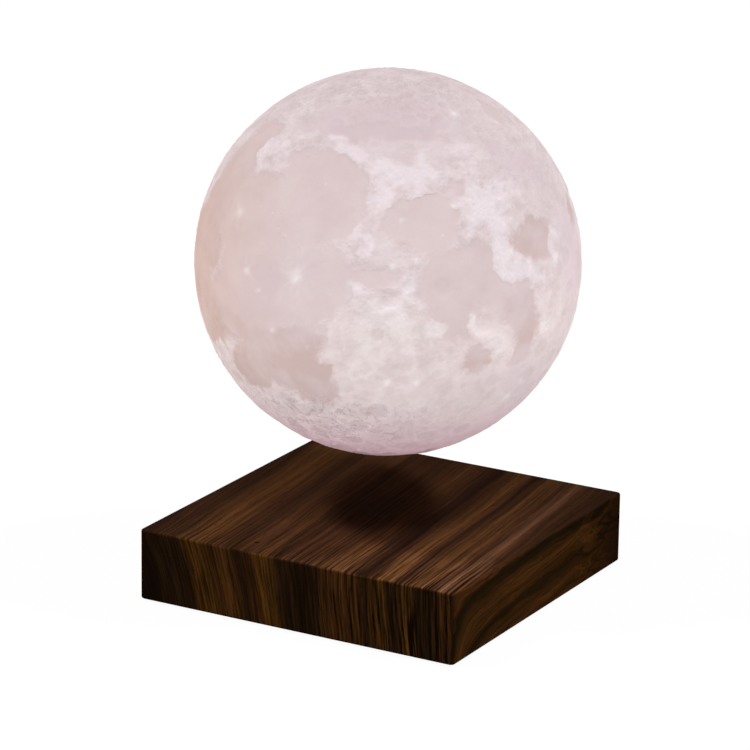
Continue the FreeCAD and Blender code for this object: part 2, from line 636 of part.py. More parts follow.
def make_control_board():
    """Circuit board with its corners cut off, clear of the wooden corner posts."""
    body = new_body("control_board")
    outline = sketch_on(body, "board_outline", offset=BOARD_BOTTOM)
    short = f"({CAVITY_HALF} - sizes.corner_post_radius - sizes.board_corner_gap)"
    draw_polygon(outline, [
        (BOARD_HALF, f"-{short}"), (BOARD_HALF, short), (short, BOARD_HALF),
        (f"-{short}", BOARD_HALF), (f"-{BOARD_HALF}", short), (f"-{BOARD_HALF}", f"-{short}"),
        (f"-{short}", f"-{BOARD_HALF}"), (short, f"-{BOARD_HALF}"),
    ])
    pad(body, outline, "sizes.board_thickness", "board_plate")
    doc.recompute()
    holes = sketch_on(body, "board_hole_outline", offset=BOARD_TOP)
    draw_circle(holes, SCREW_HOLE, POST_PLACE, POST_PLACE)
    four_times(body, pocket(body, holes, "sizes.board_thickness", "board_hole"), "board_holes")
    return subpart(body, "control_board")


def make_magnet_tray():
    """Plastic tray whose two rims hold the ring magnet, with a square floor for the screws."""
    body = new_body("magnet_tray")
    square = sketch_on(body, "tray_square_outline", offset=BOARD_TOP)
    reach = f"({POST_PLACE} + sizes.screw_head_radius + 2 * sizes.screw_play)"
    draw_rectangle(square, reach, reach)
    pad(body, square, "sizes.tray_thickness", "tray_square")
    disc = sketch_on(body, "tray_disc_outline", offset=BOARD_TOP)
    draw_circle(disc, TRAY_RADIUS)
    pad(body, disc, "sizes.tray_thickness", "tray_disc")
    for name, outside, inside in (
        ("tray_outer_rim", OUTER_RIM_OUTSIDE, OUTER_RIM_INSIDE),
        ("tray_inner_rim", f"{INNER_RIM_INSIDE} + sizes.rim_wall", INNER_RIM_INSIDE),
    ):
        rim = sketch_on(body, f"{name}_outline", offset=TRAY_TOP)
        draw_circle(rim, outside)
        draw_circle(rim, inside)
        pad(body, rim, "sizes.rim_height", name)
    doc.recompute()
    middle = sketch_on(body, "tray_middle_outline", offset=TRAY_TOP)
    draw_circle(middle, INNER_RIM_INSIDE)
    pocket(body, middle, "sizes.tray_thickness", "tray_middle")
    holes = sketch_on(body, "tray_hole_outline", offset=TRAY_TOP)
    draw_circle(holes, SCREW_HOLE, POST_PLACE, POST_PLACE)
    four_times(body, pocket(body, holes, "sizes.tray_thickness", "tray_hole"), "tray_holes")
    return subpart(body, "magnet_tray")


def make_module_screws():
    shank = "(sizes.tray_thickness + sizes.board_thickness + sizes.module_screw_bite)"
    head = ("sizes.screw_radius", "sizes.screw_head_radius", "sizes.screw_head_height")
    screws = [
        pan_screw(f"module_screw_{n}", x, y, TRAY_TOP, shank, *head)
        for n, (x, y) in enumerate(corners(POST_PLACE), start=1)
    ]
    return subpart(joined("Part::Compound", "module_screws", screws), "module_screws")


def make_ring_magnet():
    magnet = ring("ring_magnet", MAGNET_OUTSIDE, MAGNET_INSIDE, "sizes.magnet_thickness", TRAY_TOP)
    return subpart(magnet, "ring_magnet")


def make_electromagnet(number, x, y):
    """One bobbin with its winding and its steel core, standing on the control board."""
    bore = "(sizes.core_radius + sizes.core_play)"
    tube = f"({bore} + sizes.bobbin_wall)"
    name = f"bobbin_{number}"
    upper = f"{TOP_PLATE_BOTTOM} - sizes.bobbin_flange"
    flanges = [
        cylinder(f"{name}_lower", "sizes.bobbin_radius", "sizes.bobbin_flange", x, y, BOARD_TOP),
        cylinder(f"{name}_upper", "sizes.bobbin_radius", "sizes.bobbin_flange", x, y, upper),
        cylinder(f"{name}_tube", tube, COIL_HEIGHT, x, y, BOARD_TOP),
    ]
    spool = joined("Part::MultiFuse", f"{name}_spool", flanges)
    hollow = cylinder(f"{name}_bore", bore, COIL_HEIGHT, x, y, BOARD_TOP)
    subpart(cut(name, spool, hollow), name)

    outside = "(sizes.bobbin_radius - sizes.winding_inset)"
    inside = f"({tube} + sizes.core_play)"
    height = f"({COIL_HEIGHT} - 2 * sizes.bobbin_flange)"
    bottom = f"{BOARD_TOP} + sizes.bobbin_flange"
    winding = ring(f"winding_{number}", outside, inside, height, bottom, x, y)
    subpart(winding, f"winding_{number}")
    core = cylinder(f"core_{number}", "sizes.core_radius", COIL_HEIGHT, x, y, BOARD_TOP)
    subpart(core, f"core_{number}")


def make_electromagnets():
    places = corners(COIL_PLACE)
    for number, (x, y) in enumerate(places, start=1):
        make_electromagnet(number, x, y)
    # What shows, under the board, of the two terminal pins of each bobbin.
    bottom = f"{BOARD_BOTTOM} - sizes.pin_length"
    pins = [
        cylinder(f"coil_pin_{n}{side}", "sizes.pin_radius", "sizes.pin_length",
                 f"{x} {sign} sizes.bobbin_radius / 2", y, bottom)
        for n, (x, y) in enumerate(places, start=1) for side, sign in (("a", "-"), ("b", "+"))
    ]
    return subpart(joined("Part::Compound", "coil_pins", pins), "coil_pins")


def make_sensors():
    """Three position sensors, one for each direction, on a block between the electromagnets."""
    side, height = "sizes.sensor_block_side", "sizes.sensor_block_height"
    subpart(box("sensor_block", side, side, height, z=BOARD_TOP), "sensor_block")
    long, wide, thin = "sizes.sensor_length", "sizes.sensor_width", "sizes.sensor_thickness"
    top = f"{BOARD_TOP} + {height}"
    face = f"({side} + {thin}) / 2"
    middle = f"{top} - {long}"
    sensors = [
        box("sensor_up", long, wide, thin, z=top),
        box("sensor_side", thin, wide, long, x=face, z=middle),
        box("sensor_front", wide, thin, long, y=f"-{face}", z=middle),
    ]
    return subpart(joined("Part::Compound", "hall_sensors", sensors), "hall_sensors")


def make_top_plate():
    plate = cylinder("top_plate", OUTER_RIM_OUTSIDE, "sizes.top_plate_thickness", z=TOP_PLATE_BOTTOM)
    return subpart(plate, "top_plate")


def make_transmit_coil():
    outside = "(sizes.transmit_coil_inner + sizes.transmit_coil_width)"
    coil = ring("transmit_coil", outside, "sizes.transmit_coil_inner",
                "sizes.transmit_coil_thickness", TRANSMIT_COIL_BOTTOM)
    return subpart(coil, "transmit_coil")


def make_transmit_leads():
    """Two wires from the flat coil, over the edge of the tray and down to the control board."""
    start = "(sizes.transmit_coil_inner + sizes.transmit_coil_width + sizes.lead_gap)"
    wire, bend = "sizes.lead_radius", "sizes.lead_bend"
    drop = f"({TRAY_RADIUS} + {wire} + sizes.lead_gap)"
    height = f"({TRANSMIT_COIL_BOTTOM} + {wire})"
    leads = []
    for name, sign in (("a", "-"), ("b", "+")):
        y = f"0 {sign} sizes.lead_spacing / 2"
        length = f"{drop} - {bend} - {start}"
        level = cylinder(f"lead_{name}_level", wire, length, f"{bend} - {drop}", y, height)
        level.Placement.Rotation = FreeCAD.Rotation(Y_AXIS, 90)
        turn = doc.addObject("Part::Torus", f"lead_{name}_turn")
        bind(turn, Radius1=bend, Radius2=wire)
        turn.Angle3 = 90
        turn.Placement.Rotation = FreeCAD.Rotation(Z_AXIS, -X_AXIS, -Y_AXIS)
        place(turn, f"{bend} - {drop}", y, f"{height} - {bend}")
        length = f"{height} - {bend} - {BOARD_TOP}"
        down = cylinder(f"lead_{name}_down", wire, length, f"-{drop}", y, BOARD_TOP)
        leads.append(joined("Part::MultiFuse", f"lead_{name}", [level, turn, down]))
    return subpart(joined("Part::Compound", "transmit_leads", leads), "transmit_leads")


def make_board_parts():
    """Chips under the control board, and the tall parts on it, outside the tray."""
    chip = ("sizes.chip_length", "sizes.chip_width", "sizes.chip_height")
    chips = [
        box(f"driver_chip_{n}", *chip, x, y, f"{BOARD_BOTTOM} - sizes.chip_height")
        for n, (x, y) in enumerate(corners("sizes.chip_offset"), start=1)
    ]
    subpart(joined("Part::Compound", "driver_chips", chips), "driver_chips")
    side, height = "sizes.controller_side", "sizes.controller_height"
    subpart(box("controller_chip", side, side, height, z=f"{BOARD_BOTTOM} - {height}"), "controller_chip")

    edge = f"({BOARD_HALF} - sizes.tall_part_inset)"
    along = "sizes.tall_part_offset"
    can = ("sizes.capacitor_radius", "sizes.capacitor_height")
    capacitors = [
        cylinder(f"capacitor_{n}", *can, f"-{edge}", y, BOARD_TOP)
        for n, y in enumerate((along, f"-{along}"), start=1)
    ]
    subpart(joined("Part::Compound", "capacitors", capacitors), "capacitors")
    drum = ("sizes.inductor_radius", "sizes.inductor_height")
    inductor = cylinder("power_inductor", *drum, edge, f"-{along}", BOARD_TOP)
    subpart(inductor, "power_inductor")


# ---------------------------------------------------------------------------------------------
# Power inlet and touch key
# ---------------------------------------------------------------------------------------------


def make_power_inlet():
    """Barrel socket behind the wooden wall, with its centre pin."""
    middle = f"{JACK_FRONT} - sizes.jack_depth / 2"
    block = box("jack_block", "sizes.jack_width", "sizes.jack_depth", "sizes.jack_height",
                "sizes.inlet_offset", middle, BOARD_TOP)
    socket = cylinder("jack_socket", "sizes.socket_radius", "sizes.socket_depth", "sizes.inlet_offset",
                      f"{JACK_FRONT} - sizes.socket_depth", JACK_AXIS)
    socket.Placement.Rotation = TOWARDS_REAR
    subpart(cut("power_inlet", block, socket), "power_inlet")
    pin = cylinder("inlet_pin", "sizes.contact_pin_radius", "sizes.socket_depth - sizes.contact_pin_recess",
                   "sizes.inlet_offset", f"{JACK_FRONT} - sizes.socket_depth", JACK_AXIS)
    pin.Placement.Rotation = TOWARDS_REAR
    return subpart(pin, "inlet_pin")


def make_touch_key():
    """Round metal key let into the wood, whose stem carries the touch to a strip on the board."""
    x, z = "-sizes.inlet_offset", JACK_AXIS
    floor = f"{BASE_HALF} - sizes.key_recess"
    thickness, length = "sizes.key_recess + sizes.key_proud", f"{floor} - {KEY_STEM_END}"
    head = cylinder("key_head", "sizes.key_radius", thickness, x, floor, z)
    stem = cylinder("key_stem", "sizes.key_stem_radius", length, x, KEY_STEM_END, z)
    for item in (head, stem):
        item.Placement.Rotation = TOWARDS_REAR
    subpart(joined("Part::MultiFuse", "touch_key", [head, stem]), "touch_key")

    foot = box("contact_foot", "sizes.contact_width", "sizes.contact_foot", "sizes.contact_thickness",
               x, f"{KEY_STEM_END} - sizes.contact_foot / 2", BOARD_TOP)
    rise = "(sizes.jack_axis_height + sizes.key_stem_radius)"
    upright = box("contact_upright", "sizes.contact_width", "sizes.contact_thickness", rise,
                  x, f"{KEY_STEM_END} - sizes.contact_thickness / 2", BOARD_TOP)
    return subpart(joined("Part::MultiFuse", "touch_contact", [foot, upright]), "touch_contact")


# ---------------------------------------------------------------------------------------------
# Moon
# ---------------------------------------------------------------------------------------------


def crater(number, latitude, longitude, rim_degrees):
    """A flat piece of a ball, placed so that it cuts a shallow bowl with a round rim."""
    rim = f"({MOON_RADIUS} * sin({rim_degrees}))"
    bulge = f"({MOON_RADIUS} * (1 - cos({rim_degrees})))"
    depth = f"(sizes.crater_depth * {math.sqrt(rim_degrees / WIDEST_CRATER):.4f})"
    excess = f"({depth} - {bulge})"
    bowl = f"(({excess} ^ 2 + {rim} ^ 2) / (2 * {excess}))"
    item = doc.addObject("Part::Sphere", f"crater_{number}")
    item.Angle1 = -90
    bind(item, Radius=bowl, Angle2=f"-1 * asin(1 - {CRATER_TOOL_HEIGHT} * {depth} / {bowl})")
    rise, bearing = math.radians(latitude), math.radians(longitude + ZERO_MERIDIAN)
    outward = FreeCAD.Vector(
        math.cos(rise) * math.cos(bearing), math.cos(rise) * math.sin(bearing), math.sin(rise))
    item.Placement.Rotation = FreeCAD.Rotation(Z_AXIS, outward)
    reach = f"({MOON_RADIUS} - {depth} + {bowl})"
    return place(item, f"{outward.x:.6f} * {reach}", f"{outward.y:.6f} * {reach}",
                 f"{MOON_CENTRE} + {outward.z:.6f} * {reach}")


def make_moon_shell():
    """Thin ball with a service opening below, a collar round it, and the larger craters."""
    skin = cut("moon_skin", sphere("moon_ball", MOON_RADIUS),
               sphere("moon_hollow", f"{MOON_RADIUS} - sizes.moon_wall"))
    height = f"{CAP_TOP} + sizes.lip_height - {MOON_LOWEST}"
    block = cylinder("collar_block", f"{OPENING_RADIUS} + sizes.collar_wall", height, z=MOON_LOWEST)
    collar = joined("Part::MultiCommon", "moon_collar", [block, sphere("collar_ball", MOON_RADIUS)])
    closed = joined("Part::MultiFuse", "moon_closed", [skin, collar])
    # The opening is narrower above the cap, so that the cap stops there.
    wide = cylinder("moon_opening", OPENING_RADIUS, f"{CAP_TOP} - {MOON_LOWEST}", z=MOON_LOWEST)
    narrow = cylinder("moon_opening_lip", LIP_INSIDE, f"{MOON_CENTRE} - {MOON_LOWEST}", z=MOON_LOWEST)
    open_shell = cut("moon_open", closed, joined("Part::MultiFuse", "moon_openings", [wide, narrow]))
    bowls = [crater(number, *where) for number, where in enumerate(CRATERS, start=1)]
    shell = cut("moon_shell", open_shell, joined("Part::Compound", "crater_bowls", bowls))
    return subpart(shell, "moon_shell")


def make_moon_cap():
    """Plug of the service opening: its underside carries on the ball, its pocket holds the magnet."""
    low = MOON_LOWEST
    skin_block = cylinder("cap_skin_block", CAP_RADIUS, f"{CAP_TOP} - {low}", z=low)
    skin = cut("cap_skin", skin_block, sphere("cap_hollow", f"{MOON_RADIUS} - sizes.moon_wall"))
    places = [on_circle(BOSS_CIRCLE, CAP_BOSSES, n) for n in range(CAP_BOSSES)]
    bosses = [
        cylinder(f"cap_boss_{n}", "sizes.boss_radius", f"{RETAINER_BOTTOM} - {low}", x, y, low)
        for n, (x, y) in enumerate(places, start=1)
    ]
    inside = [
        ring("cap_upright", CAP_RADIUS, CAP_INSIDE, f"{CAP_TOP} - {low}", low),
        cylinder("cap_coil_seat", RECEIVER_COIL_OUTSIDE, f"{COIL_SEAT} - {low}", z=low),
        cylinder("cap_pocket_wall", POCKET_OUTSIDE, f"{RETAINER_BOTTOM} - {low}", z=low),
    ]
    block = joined("Part::MultiFuse", "cap_block", [skin] + inside + bosses)
    shaped = joined("Part::MultiCommon", "cap_shaped", [block, sphere("cap_ball", MOON_RADIUS)])
    hollows = [cylinder("cap_pocket", POCKET_RADIUS, f"{CAP_TOP} - {MAGNET_SEAT}", z=MAGNET_SEAT)]
    bite = "(sizes.small_screw_bite + sizes.screw_play)"
    hollows += [
        cylinder(f"cap_pilot_{n}", SMALL_HOLE, bite, x, y, f"{RETAINER_BOTTOM} - {bite}")
        for n, (x, y) in enumerate(places, start=1)
    ]
    cap = cut("moon_cap", shaped, joined("Part::Compound", "cap_hollows", hollows))
    return subpart(cap, "moon_cap")


def make_float_magnet():
    magnet = cylinder("float_magnet", "sizes.float_magnet_radius", "sizes.float_magnet_thickness",
                      z=f"{MAGNET_SEAT} + sizes.float_magnet_play")
    return subpart(magnet, "float_magnet")


def make_receiver():
    """Everything that is screwed over the magnet: coil, retaining plate, spacers and board."""
    coil = ring("receiver_coil", RECEIVER_COIL_OUTSIDE, RECEIVER_COIL_INSIDE,
                "sizes.receiver_coil_thickness", COIL_SEAT)
    subpart(coil, "receiver_coil")
    places = [on_circle(BOSS_CIRCLE, CAP_BOSSES, n) for n in range(CAP_BOSSES)]

    for name, label, bottom, thickness in (
        ("retainer", "magnet_retainer", RETAINER_BOTTOM, "sizes.retainer_thickness"),
        ("receiver", "receiver_board", RECEIVER_BOTTOM, "sizes.board_thickness"),
    ):
        disc = cylinder(f"{name}_disc", DISC_RADIUS, thickness, z=bottom)
        holes = [
            cylinder(f"{name}_hole_{n}", SMALL_HOLE, thickness, x, y, bottom)
            for n, (x, y) in enumerate(places, start=1)
        ]
        subpart(cut(label, disc, joined("Part::Compound", f"{name}_holes", holes)), label)

    spacers = [
        ring(f"spacer_{n}", "sizes.spacer_radius", SMALL_HOLE, "sizes.spacer_height", RETAINER_TOP, x, y)
        for n, (x, y) in enumerate(places, start=1)
    ]
    subpart(joined("Part::Compound", "board_spacers", spacers), "board_spacers")
    shank = f"({RECEIVER_TOP} - {RETAINER_BOTTOM} + sizes.small_screw_bite)"
    head = ("sizes.small_screw_radius", "sizes.small_head_radius", "sizes.small_head_height")
    screws = [
        pan_screw(f"receiver_screw_{n}", x, y, RECEIVER_TOP, shank, *head)
        for n, (x, y) in enumerate(places, start=1)
    ]
    subpart(joined("Part::Compound", "receiver_screws", screws), "receiver_screws")

    chip = ("sizes.rectifier_length", "sizes.rectifier_width", "sizes.rectifier_height")
    rectifier = box("rectifier_chip", *chip, "sizes.rectifier_offset", "0", RECEIVER_TOP)
    subpart(rectifier, "rectifier_chip")
    storage = cylinder("storage_capacitor", "sizes.storage_radius", "sizes.storage_height",
                       "-sizes.rectifier_offset", "0", RECEIVER_TOP)
    subpart(storage, "storage_capacitor")


def make_lights():
    """Board of lights on three posts, in the lower half of the moon, under a frosted dome."""
    between = 180 / CAP_BOSSES
    places = [on_circle("sizes.led_post_circle", CAP_BOSSES, n, between) for n in range(CAP_BOSSES)]
    posts, screws, holes = [], [], []
    bite = "(sizes.small_screw_bite + sizes.screw_play)"
    shank = "(sizes.led_board_thickness + sizes.small_screw_bite)"
    head = ("sizes.small_screw_radius", "sizes.small_head_radius", "sizes.small_head_height")
    pillar = ("sizes.led_post_radius", "sizes.led_post_height")
    for n, (x, y) in enumerate(places, start=1):
        post = cylinder(f"led_post_{n}_body", *pillar, x, y, RECEIVER_TOP)
        bore = cylinder(f"led_post_{n}_bore", SMALL_HOLE, bite, x, y, f"{LED_BOARD_BOTTOM} - {bite}")
        posts.append(cut(f"led_post_{n}", post, bore))
        screws.append(pan_screw(f"led_screw_{n}", x, y, LED_BOARD_TOP, shank, *head))
        hole = ("sizes.led_board_thickness", x, y, LED_BOARD_BOTTOM)
        holes.append(cylinder(f"led_hole_{n}", SMALL_HOLE, *hole))
    subpart(joined("Part::Compound", "led_posts", posts), "led_posts")
    subpart(joined("Part::Compound", "led_screws", screws), "led_screws")
    disc = cylinder("led_disc", "sizes.led_board_radius", "sizes.led_board_thickness", z=LED_BOARD_BOTTOM)
    subpart(cut("led_board", disc, joined("Part::Compound", "led_holes", holes)), "led_board")

    chip = ("sizes.led_side", "sizes.led_side", "sizes.led_height")
    lights = [
        box(f"led_{n + 1}", *chip, *on_circle("sizes.led_circle", LIGHTS, n), LED_BOARD_TOP)
        for n in range(LIGHTS)
    ]
    subpart(joined("Part::Compound", "leds", lights), "leds")

    domes = []
    for name, radius in (("outer", DOME_RADIUS), ("inner", f"({DOME_RADIUS} - sizes.dome_wall)")):
        dome = bind(doc.addObject("Part::Sphere", f"dome_{name}"), Radius=radius)
        dome.Angle1 = 0
        domes.append(place(dome, z=LED_BOARD_TOP))
    subpart(cut("diffuser_dome", *domes), "diffuser_dome")


# ---------------------------------------------------------------------------------------------
# The whole lamp
# ---------------------------------------------------------------------------------------------

make_base_housing()
make_bottom_cover()
make_cover_screws()
make_rubber_feet()
make_control_board()
make_magnet_tray()
make_module_screws()
make_ring_magnet()
make_electromagnets()
make_sensors()
make_top_plate()
make_transmit_coil()
make_transmit_leads()
make_board_parts()
make_power_inlet()
make_touch_key()
make_moon_shell()
make_moon_cap()
make_float_magnet()
make_receiver()
make_lights()
doc.recompute()

for item in doc.Objects:
    if "Invalid" in item.State or "Error" in item.State:
        raise RuntimeError(f"{item.Name} could not be built: {item.State}")
for item in subparts:
    if item.Shape.isNull() or not item.Shape.isValid():
        raise RuntimeError(f"{item.Label} has no valid shape")

os.makedirs("parts", exist_ok=True)
for item in subparts:
    item.Shape.exportStep(f"parts/{item.Label}.step")
print(len(subparts), "pieces written")
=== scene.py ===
import functools
import json
import math

import bpy
import numpy as np
from mathutils import Matrix, Vector, noise


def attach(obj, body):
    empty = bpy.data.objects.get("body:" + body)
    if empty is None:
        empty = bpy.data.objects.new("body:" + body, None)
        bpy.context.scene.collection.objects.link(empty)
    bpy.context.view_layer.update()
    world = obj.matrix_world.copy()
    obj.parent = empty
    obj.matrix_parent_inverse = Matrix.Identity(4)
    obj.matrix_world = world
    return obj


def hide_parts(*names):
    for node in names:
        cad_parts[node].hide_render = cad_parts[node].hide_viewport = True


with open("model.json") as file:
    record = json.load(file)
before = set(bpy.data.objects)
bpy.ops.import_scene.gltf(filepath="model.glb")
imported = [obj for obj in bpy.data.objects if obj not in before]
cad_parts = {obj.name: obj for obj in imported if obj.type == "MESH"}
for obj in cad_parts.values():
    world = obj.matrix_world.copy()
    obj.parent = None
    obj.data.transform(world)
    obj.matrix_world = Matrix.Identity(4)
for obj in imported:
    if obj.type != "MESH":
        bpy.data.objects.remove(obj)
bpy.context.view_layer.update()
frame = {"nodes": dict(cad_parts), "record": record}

# The floating moon lamp: a printed moon, lit from inside, that hovers over a walnut block.
# Sizes here are in millimetres and angles in degrees, unless a comment says otherwise.
MM = 0.001
BASE_SIDE = 139.0
BASE_TOP = 29.6
MOON_CENTRE = 131.1
MOON_RADIUS = 75.0

# ---------------------------------------------------------------------------------------------
# Camera: where the photograph was taken from. The view is 750 by 750.
# ---------------------------------------------------------------------------------------------

CAMERA_BEARING, CAMERA_HEIGHT, CAMERA_ROLL = 29.51, 17.37, 0.8
CAMERA_LENS, FILM_WIDTH = 209.28, 36
# In sides of the base, from the middle of its top: back from it, right and up.
CAMERA_BACK, CAMERA_RIGHT, CAMERA_UP = 12.321, -0.026, 0.383


def bearing(degrees_right, degrees_up):
    """Unit vector towards a place seen from the lamp: 0, 0 is straight to the camera."""
    turn, lift = math.radians(CAMERA_BEARING + degrees_right), math.radians(degrees_up)
    level = math.cos(lift)
    return Vector((math.sin(turn) * level, -math.cos(turn) * level, math.sin(lift)))


def place_camera():
    backward = bearing(0, CAMERA_HEIGHT)
    sideways = Vector((0, 0, 1)).cross(backward).normalized()
    upright = backward.cross(sideways)
    roll = math.radians(CAMERA_ROLL)
    right = math.cos(roll) * sideways + math.sin(roll) * upright
    up = math.cos(roll) * upright - math.sin(roll) * sideways
    data = bpy.data.cameras.new("camera")
    data.lens, data.sensor_width = CAMERA_LENS, FILM_WIDTH
    data.clip_start, data.clip_end = 0.05, 50
    camera = bpy.data.objects.new("camera", data)
    bpy.context.scene.collection.objects.link(camera)
    offset = CAMERA_RIGHT * right + CAMERA_UP * up + CAMERA_BACK * backward
    axes = Matrix((right, up, backward)).transposed().to_4x4()
    top = Vector((0, 0, BASE_TOP * MM))
    camera.matrix_world = Matrix.Translation(top + offset * BASE_SIDE * MM) @ axes
    bpy.context.scene.camera = camera


place_camera()
bpy.context.scene.view_settings.view_transform = "Standard"

# ---------------------------------------------------------------------------------------------
# Small helpers for materials
# ---------------------------------------------------------------------------------------------


def paint(code):
    """Linear colour of an sRGB hex code."""
    parts = [int(code[i:i + 2], 16) / 255 for i in (0, 2, 4)]
    linear = [c / 12.92 if c <= 0.04045 else ((c + 0.055) / 1.055) ** 2.4 for c in parts]
    return (*linear, 1.0)


def feed(node, *unnamed, **named):
    """Gives a node its inputs: unnamed ones in order, named ones by the name of their socket. A
    node or a socket is linked, and a number or a colour is set."""
    free = [socket for socket in node.inputs if socket.enabled]
    by_name = {socket.name: socket for socket in reversed(free)}
    pairs = list(zip(free, unnamed))
    pairs += [(by_name[name.replace("_", " ")], given) for name, given in named.items()]
    for socket, given in pairs:
        if isinstance(given, bpy.types.Node):
            given = next(output for output in given.outputs if output.enabled)
        if isinstance(given, bpy.types.NodeSocket):
            node.id_data.links.new(given, socket)
        else:
            socket.default_value = paint(given) if isinstance(given, str) else given


def add(tree, kind, *unnamed, stops=(), **named):
    """Adds a shader node. Names with a capital are its inputs, and the others are its settings."""
    node = tree.nodes.new("ShaderNode" + kind)
    for name, setting in named.items():
        if name.islower():
            setattr(node, name, setting)
    feed(node, *unnamed, **{name: given for name, given in named.items() if not name.islower()})
    for number, (position, colour) in enumerate(stops):
        elements = node.color_ramp.elements
        element = elements[number] if number < 2 else elements.new(position)
        element.position, element.color = position, paint(colour)
    return node


# Settings of the Mix node for colours, plain and as a tint.
COLOUR = {"data_type": "RGBA"}
TINT = {"data_type": "RGBA", "blend_type": "MULTIPLY"}


def start(name, **constants):
    """A new material, what adds nodes to it, its shader, and the place on the piece in mm."""
    material = bpy.data.materials.new(name)
    material.use_nodes = True
    put = functools.partial(add, material.node_tree)
    shader = material.node_tree.nodes["Principled BSDF"]
    feed(shader, **constants)
    place = put("VectorMath", put("TexCoord").outputs["Object"], operation="SCALE", Scale=1000)
    return material, put, shader, place


# ---------------------------------------------------------------------------------------------
# The moon's map
# ---------------------------------------------------------------------------------------------

# Turn of the moon at rest: the bearing of its zero meridian from +X, as in the solids.
ZERO_MERIDIAN = -68.3

# Dark plains: latitude, longitude, half height, half width, and how dark, 0 to 1.
SEAS = [
    (34, -17, 15, 15.5, .50), (44.5, -32, 3.6, 3.6, .50), (25, -42, 13, 13, .52),
    (27, -62, 13, 11, .68), (11, -67, 10, 16, .72), (-5, -67, 9, 14, .78), (38, -61, 9, 8, .62),
    (-16, -60, 6, 9, .82), (48, -60, 4.5, 7, .50), (8, -33, 15, 16, .45), (10, -14, 10, 12, .42),
    (0, -16, 5.5, 8, .45), (-1, -40, 9, 15, .6), (-24, -41, 7.5, 7.5, .95),
    (-22, -17.5, 9.4, 10, 1.0), (-13, -30, 8, 12, .85), (-8, -45, 6, 10, .80), (-9, -18, 4, 6, .80),
    (-23, -30, 4, 5, .80), (57, 3, 3.4, 16, .50), (27, 18.5, 9.8, 10.6, .50),
    (36, 31, 3.2, 4.4, .45), (11, 5, 4.0, 7.5, .45), (9, 27, 9.6, 9.6, .62),
    (12, 36, 7.4, 6.4, .72), (0, 28, 5.4, 7.4, .62), (-4, 27, 3.4, 4.0, .62), (5, 41, 6.4, 6, .66),
    (-1, 50, 7.6, 7.2, .82), (-8, 53, 6.4, 5.4, .82), (-16, 51, 3.4, 4, .70),
    (-15, 35.5, 4.4, 4.8, .85), (-7, 31, 2.4, 2.4, .60), (17.5, 57.5, 7.0, 8.4, .88),
    (20, 87, 4.2, 3.6, .85), (57, 81.5, 4.0, 4.5, .55), (1.3, 87.5, 6, 5, .65),
    (6.8, 69, 2.4, 2.4, .55), (1.1, 66, 2.0, 2.0, .5),
    # the side that faces away
    (-39, 90, 6, 5, .4), (-47, 95, 4, 5, .4), (-34, 99, 3, 3, .4), (-19.4, -92.8, 5.2, 5.4, .7),
    (-28, -97, 1.5, 6, .45), (27, 148, 4.4, 4.8, .7), (-33.7, 163.5, 3.6, 4.4, .65),
    (-20, 129, 2.6, 2.8, .9), (-5.5, -68.3, 2.6, 2.8, .85), (-36, -151, 4.0, 4.6, .6),
    (6, 141, 1.6, 3.0, .5), (-4, -157, 1.5, 2.5, .4), (35, 102, 2.0, 2.5, .5),
    (-60, 172, 5, 8, .35), (-52, -168, 5, 9, .35),
]
# Lavender-grey veils over the land and the plains, in the same terms.
# The veils at 5, 80 and at -28, 62 are painted shade: they darken the moon towards its east limb and
# its lower right.
VEILS_AND_LIMB_SHADE = [
    (61, 4, 9, 20, .95), (57, -24, 4, 9, .6), (68, 18, 7, 22, .6), (36, 30, 4, 5, .5),
    (13, 4, 5.5, 7, .5), (6, 6, 3.5, 5, .3), (12, -12, 6, 8, .6), (7, -34, 6, 9, .7),
    (0, -30, 7, 16, .55), (10, -26, 7, 7, .5), (40, 66, 4, 7, .9), (47, 58, 3, 4, .7),
    (35, 74, 4, 6, .6), (46, 14, 2.4, 3.6, .8), (33, 62, 3, 3, .5), (5, 80, 18, 10, .85),
    (-3, 55, 4, 5, .4), (3, 48, 4, 5, .4), (-32, 4, 4, 9, .5), (-42, 0, 8, 24, .5),
    (-28, 62, 13, 16, .7), (-46, 40, 7, 18, .4), (26, 2, 1.8, 2.0, .8), (-22, 40, 4, 6, .3),
    (22, 39, 2.2, 2.6, .8), (-50, -172, 34, 34, .6), (-40, 92, 15, 15, .5), (-19, -93, 15, 15, .3),
    (30, -120, 8, 14, .3), (40, 140, 7, 12, .3), (10, 170, 8, 12, .25),
]
